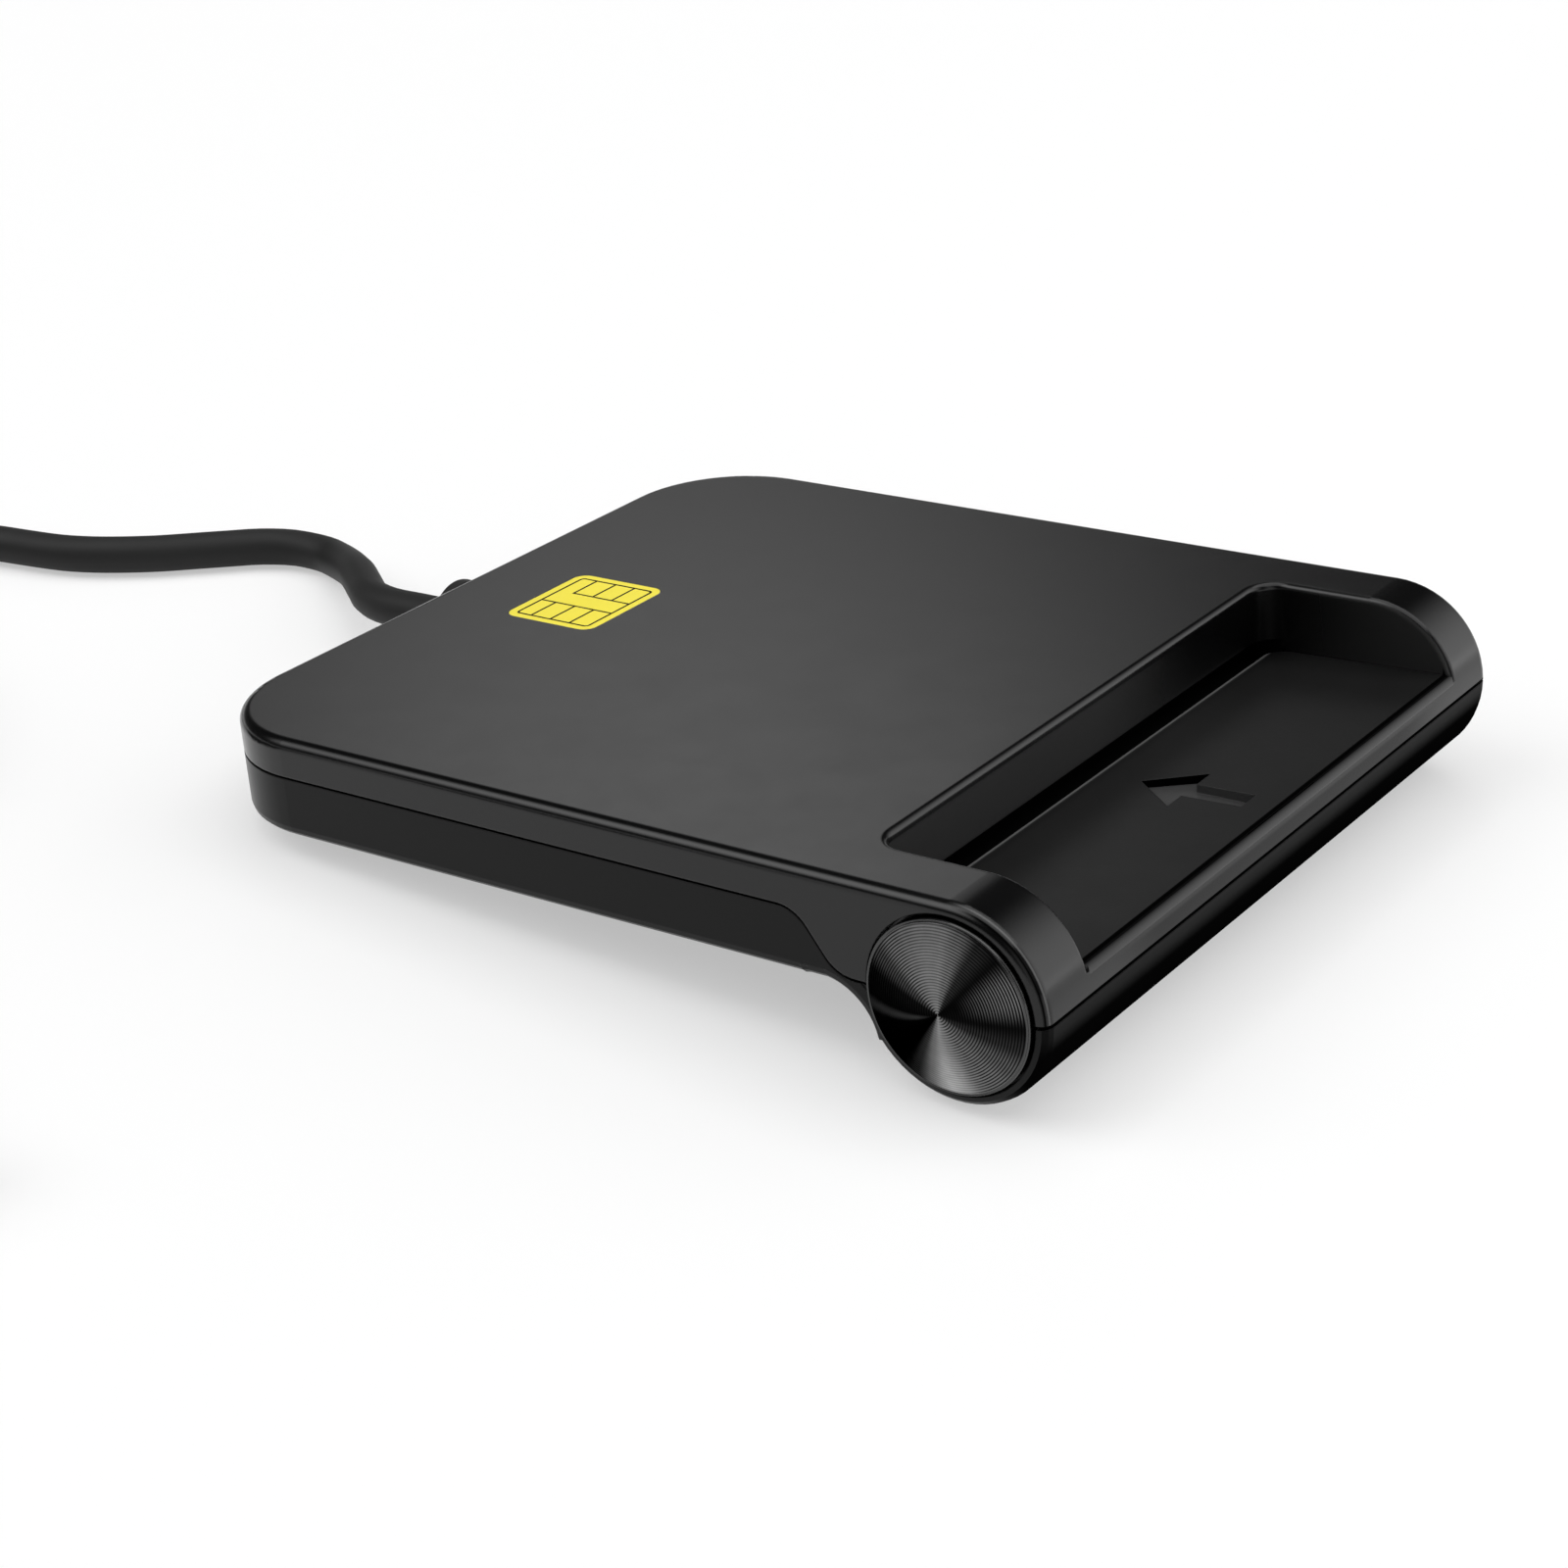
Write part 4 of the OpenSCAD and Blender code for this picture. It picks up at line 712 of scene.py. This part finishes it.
def end_disc(name, side):
    """side is -1 for the left end and 1 for the right one."""
    low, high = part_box(name)
    outer = (low[0] if side < 0 else high[0]) / MM - side * DISC_RISE
    profile = disc_profile()
    bm = bmesh.new()
    spin = bm.loops.layers.uv.new("spin")
    rings = []
    for r, out in profile:
        angles = [2 * math.pi * k / TURN_STEPS for k in range(TURN_STEPS if r else 1)]
        rings.append([bm.verts.new(STAND @ mm(outer + side * out, -r * math.sin(a), r * math.cos(a)))
                      for a in angles])
    for i in range(len(rings) - 1):
        inner, wider = rings[i], rings[i + 1]
        for k in range(TURN_STEPS):
            n = (k + 1) % TURN_STEPS
            corners = [(wider[k], k, i + 1), (wider[n], k + 1, i + 1)]
            if len(inner) == 1:
                corners.insert(0, (inner[0], k + 0.5, i))
            else:
                corners = [(inner[k], k, i)] + corners + [(inner[n], k + 1, i)]
            if side > 0:
                corners.reverse()
            face = bm.faces.new([c[0] for c in corners])
            face.smooth = profile[i + 1][0] < DISC_R
            face.material_index = 0 if profile[i + 1][0] < RIM_IN - FACE_GAP else 1
            for loop, corner in zip(face.loops, corners):
                loop[spin].uv = (corner[1] / TURN_STEPS, profile[corner[2]][0])
    back = bm.faces.new(rings[-1] if side < 0 else rings[-1][::-1])
    back.material_index = 1
    obj = add_from(bm, name + "_turned", disc_metal_painted_fans, rim_metal)
    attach(obj, "reader")
    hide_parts(name)


end_disc("end_disc_left", -1)
end_disc("end_disc_right", 1)


# The cable: one smooth curve through the same points as its solids

CORD_D = 3.4
CORD_DROP = 4.1
CORD_Z = ROLL_R - CORD_DROP
SLACK = 0.08
FLANGE_T = 1.8
SLEEVE_L = 1
SLEEVE_END_Y = BODY_L + SLACK + FLANGE_T + SLEEVE_L
PLUG = (-84.4, 62.0, 4.0)
COIL_AT = (-57.0, 86.0)
COIL_MID_R = 19.0
COIL_TURNS = 4.375
COIL_STEPS = 24
COIL_SPACE = 0.45
COIL_PITCH = CORD_D + COIL_SPACE
COIL_FIRST_Z = 2.3
COIL_DIP = 0.6
COIL_OUT_R = COIL_MID_R + COIL_TURNS * COIL_PITCH / 2
COIL_IN_R = COIL_MID_R - COIL_TURNS * COIL_PITCH / 2
# The half turn in which the cord climbs from the lower layer to the upper one
COIL_CLIMB = 0.5
COIL_TOTAL = 2 * COIL_TURNS + COIL_CLIMB
CURVE_STEPS = 3

exit_point = STAND @ mm(0, SLEEVE_END_Y, CORD_Z) / MM
exit_way = (STAND.to_3x3() @ Vector((0, 1, 0))).normalized()


def coil_at(u):
    """The coil's centre line after u turns, in millimetres."""
    if u < COIL_TURNS:
        radius = COIL_OUT_R - COIL_PITCH * u
    elif u < COIL_TURNS + COIL_CLIMB:
        radius = COIL_IN_R - COIL_DIP * math.sin(math.pi * (u - COIL_TURNS) / COIL_CLIMB)
    else:
        radius = COIL_IN_R + COIL_PITCH * (u - COIL_TURNS - COIL_CLIMB)
    angle = math.pi / 2 + 2 * math.pi * u
    height = COIL_FIRST_Z + COIL_PITCH * max(0, min(1, (u - COIL_TURNS) / COIL_CLIMB))
    return Vector((COIL_AT[0] + radius * math.cos(angle), COIL_AT[1] + radius * math.sin(angle), height))


coil = [coil_at(i / COIL_STEPS) for i in range(round(COIL_TOTAL * COIL_STEPS) + 1)]
coil_end_way = math.pi / 2 + 2 * math.pi * COIL_TOTAL
coil_begin = coil[0] + Vector((CORD_D, 0, 0))
coil_end = coil[-1] + CORD_D * Vector((-math.sin(coil_end_way), math.cos(coil_end_way), 0))
FREE_POINTS = [
    (0, 48.1, 4.2), (0.9, 51, 3.9), (2.8, 53.6, 3.6), (5.2, 56.7, 3.2), (7.2, 59.6, 2.5),
    (8.8, 62.5, 1.9), (9.5, 65, 1.7), (9, 68.1, 1.7), (7.4, 70.8, 1.7), (5.2, 73, 1.7),
    (3, 75.1, 1.7), (0.8, 77.2, 1.7), (-1.2, 79.5, 1.7), (-3, 82, 1.7), (-4.4, 84.7, 1.7),
    (-5.4, 87.9, 1.7), (-6.3, 91.1, 1.7), (-7.6, 94.7, 1.7), (-10, 98.7, 1.7), (-13.2, 103, 1.7),
    (-18, 106.8, 1.8), (-24, 110, 1.9), (-31, 112.3, 2), (-39, 113.3, 2.2), (-46, 113.4, 2.3),
]
free = [exit_point, exit_point + CORD_D * exit_way] + [Vector(p) for p in FREE_POINTS]
free += [coil_begin + Vector((CORD_D, 0, 0)), coil_begin]
tail = [coil_end - Vector((0, CORD_D, 0)), Vector((PLUG[0], 74.5, 5.3)), Vector((PLUG[0], 69.5, 4.5)),
        Vector((PLUG[0], PLUG[1] + CORD_D, PLUG[2])), Vector(PLUG)]


def smooth(points, steps):
    """Points on a smooth curve through the given ones, the first and last kept."""
    out = []
    for i in range(len(points) - 1):
        a = points[max(i - 1, 0)]
        b, c = points[i], points[i + 1]
        d = points[min(i + 2, len(points) - 1)]
        for k in range(steps):
            t = k / steps
            out.append(((2 * b) + (c - a) * t + (2 * a - 5 * b + 4 * c - d) * t * t
                        + (3 * b - a - 3 * c + d) * t ** 3) / 2)
    return out + [points[-1]]


# The strap that holds the coil: a flat band, pulled tight round both layers

TIE_T = 0.45
TIE_W = 4
TIE_PLAY = 0.05
TIE_ANGLE = math.radians(300)
TIE_CORNER = CORD_D / 2
CORNER_STEPS = 8


def strap_outline(grow):
    """The band's outline, seen along the cord, as distances from the coil's axis and heights."""
    turn = (TIE_ANGLE - math.pi / 2) / (2 * math.pi)
    inner, outer = [(coil_at(u).to_2d() - Vector(COIL_AT)).length for u in (int(COIL_TURNS) + turn, turn)]
    out = CORD_D / 2 + TIE_PLAY
    r0, r1 = inner - out, outer + out
    z0, z1 = COIL_FIRST_Z - out, COIL_FIRST_Z + COIL_PITCH + out
    reach = TIE_CORNER + grow
    points = []
    for r, z, start in ((r1, z0, -90), (r1, z1, 0), (r0, z1, 90), (r0, z0, 180)):
        middle_r = r - TIE_CORNER if r == r1 else r + TIE_CORNER
        middle_z = z - TIE_CORNER if z == z1 else z + TIE_CORNER
        for k in range(CORNER_STEPS + 1):
            a = math.radians(start + 90 * k / CORNER_STEPS)
            points.append((middle_r + reach * math.cos(a), middle_z + reach * math.sin(a)))
    return points


def strap():
    bm = bmesh.new()
    rings = []
    for grow, half in ((0, TIE_W / 2), (TIE_T, TIE_W / 2), (TIE_T, -TIE_W / 2), (0, -TIE_W / 2)):
        ring = []
        for r, z in strap_outline(grow):
            place = Matrix.Rotation(TIE_ANGLE, 4, "Z") @ Vector((r, half, 0)) + Vector((*COIL_AT, z))
            ring.append(bm.verts.new(place * MM))
        rings.append(ring)
    count = len(rings[0])
    for i in range(len(rings)):
        a, b = rings[i], rings[(i + 1) % len(rings)]
        for k in range(count):
            n = (k + 1) % count
            bm.faces.new((a[k], a[n], b[n], b[k]))
    obj = add_from(bm, "cable_tie_strap", cord_pvc)
    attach(obj, "reader")
    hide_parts("cable_tie")
    return obj


tie = strap()

route = smooth(free + coil + tail, CURVE_STEPS)
cable_curve = bpy.data.curves.new("cable", "CURVE")
cable_curve.dimensions = "3D"
cable_curve.bevel_depth = CORD_D / 2 * MM
cable_curve.bevel_resolution = 5
spline = cable_curve.splines.new("POLY")
spline.points.add(len(route) - 1)
for point, place in zip(spline.points, route):
    point.co = (*(place * MM), 1)
spline.use_smooth = True
cable = add("cable", cable_curve, cord_pvc)
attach(cable, "reader")
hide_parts("cable_free_stretch", "cable_coil", "cable_tail")


# Floor, light and background

FLOOR_HALF = 12.0
FLOOR_DROP = 0.0001
# The floor's own light: from the first distance and strength, in metres, to the second
LIFT_NEAR, LIFT_NEAR_BY = 0.45, 0.47
LIFT_FAR, LIFT_FAR_BY = 1.6, 1


def stage_floor():
    """A pale floor; it is lifted where the camera, or a shiny surface, looks at it, and to white far out."""
    mesh = bpy.data.meshes.new("floor")
    corners = [(x * FLOOR_HALF, y * FLOOR_HALF, 0) for x, y in ((-1, -1), (1, -1), (1, 1), (-1, 1))]
    mesh.from_pydata(corners, [], [(0, 1, 2, 3)])
    material, tree, shader = new_material("floor")
    shader.inputs["Base Color"].default_value = (*grey(0.5), 1)
    shader.inputs["Roughness"].default_value = 0.9
    shader.inputs["Specular IOR Level"].default_value = 0.1
    shader.inputs["Emission Color"].default_value = (*grey(1), 1)
    path = tree.nodes.new("ShaderNodeLightPath")
    seen = largest(tree, path.outputs["Is Camera Ray"], path.outputs["Is Glossy Ray"],
                   path.outputs["Is Transmission Ray"])
    place = tree.nodes.new("ShaderNodeTexCoord")
    reach = tree.nodes.new("ShaderNodeVectorMath")
    reach.operation = "LENGTH"
    tree.links.new(place.outputs["Object"], reach.inputs[0])
    lift = ranged(tree, reach.outputs["Value"], LIFT_NEAR, LIFT_FAR, LIFT_NEAR_BY, LIFT_FAR_BY)
    tree.links.new(product(tree, seen, lift), shader.inputs["Emission Strength"])
    obj = add("floor", mesh, material)
    obj.location = (0, 0, -FLOOR_DROP)


stage_floor()


def softbox(name, at, to, width, height, watts):
    data = bpy.data.lights.new(name, "AREA")
    data.shape = "RECTANGLE"
    data.size = width
    data.size_y = height
    data.energy = watts
    obj = bpy.data.objects.new(name, data)
    obj.location = at
    obj.rotation_mode = "QUATERNION"
    obj.rotation_quaternion = (Vector(to) - Vector(at)).to_track_quat("-Z", "Y")
    scene.collection.objects.link(obj)


softbox("softbox_top", (0.1, -0.2, 2.0), (0.1, -0.2, 0), 2.6, 2.4, 33)

# The studio around it is dim, but for a glow low down and soft panels; each has its way, the angles in
# degrees inside which it is full and outside which it has gone, and its strength
PANELS = [
    ((0.66, 0.6, 0.43), 1, 16, 1.2),
    ((0.57, -0.72, 0.33), 8, 54, 1.9),
    ((-0.5, 0.52, 0.69), 8, 30, 3.2),
    ((-0.67, -0.61, 0.35), 4, 30, 0.9),
]
STUDIO_DIM = 0.03
GLOW = 0.9
GLOW_TOP = 0.14

world = bpy.data.worlds.new("world")
scene.world = world
world.use_nodes = True
tree = world.node_tree
tree.nodes.clear()
output = tree.nodes.new("ShaderNodeOutputWorld")
background = tree.nodes.new("ShaderNodeBackground")
background.inputs["Color"].default_value = (*grey(1), 1)
place = tree.nodes.new("ShaderNodeTexCoord")
way = tree.nodes.new("ShaderNodeVectorMath")
way.operation = "NORMALIZE"
tree.links.new(place.outputs["Generated"], way.inputs[0])
level = tree.nodes.new("ShaderNodeSeparateXYZ")
tree.links.new(way.outputs["Vector"], level.inputs["Vector"])
total = ranged(tree, level.outputs["Z"], 0, GLOW_TOP, GLOW, STUDIO_DIM)
for centre, inner, outer, strength in PANELS:
    dot = tree.nodes.new("ShaderNodeVectorMath")
    dot.operation = "DOT_PRODUCT"
    tree.links.new(way.outputs["Vector"], dot.inputs[0])
    dot.inputs[1].default_value = Vector(centre).normalized()
    angle = math_node(tree, "ARCCOSINE", math_node(tree, "MINIMUM", dot.outputs["Value"], 1))
    panel = ranged(tree, angle, math.radians(outer), math.radians(inner), 0, strength)
    total = math_node(tree, "ADD", total, panel)
tree.links.new(total, background.inputs["Strength"])
tree.links.new(background.outputs[0], output.inputs["Surface"])

scene.view_settings.view_transform = "Standard"
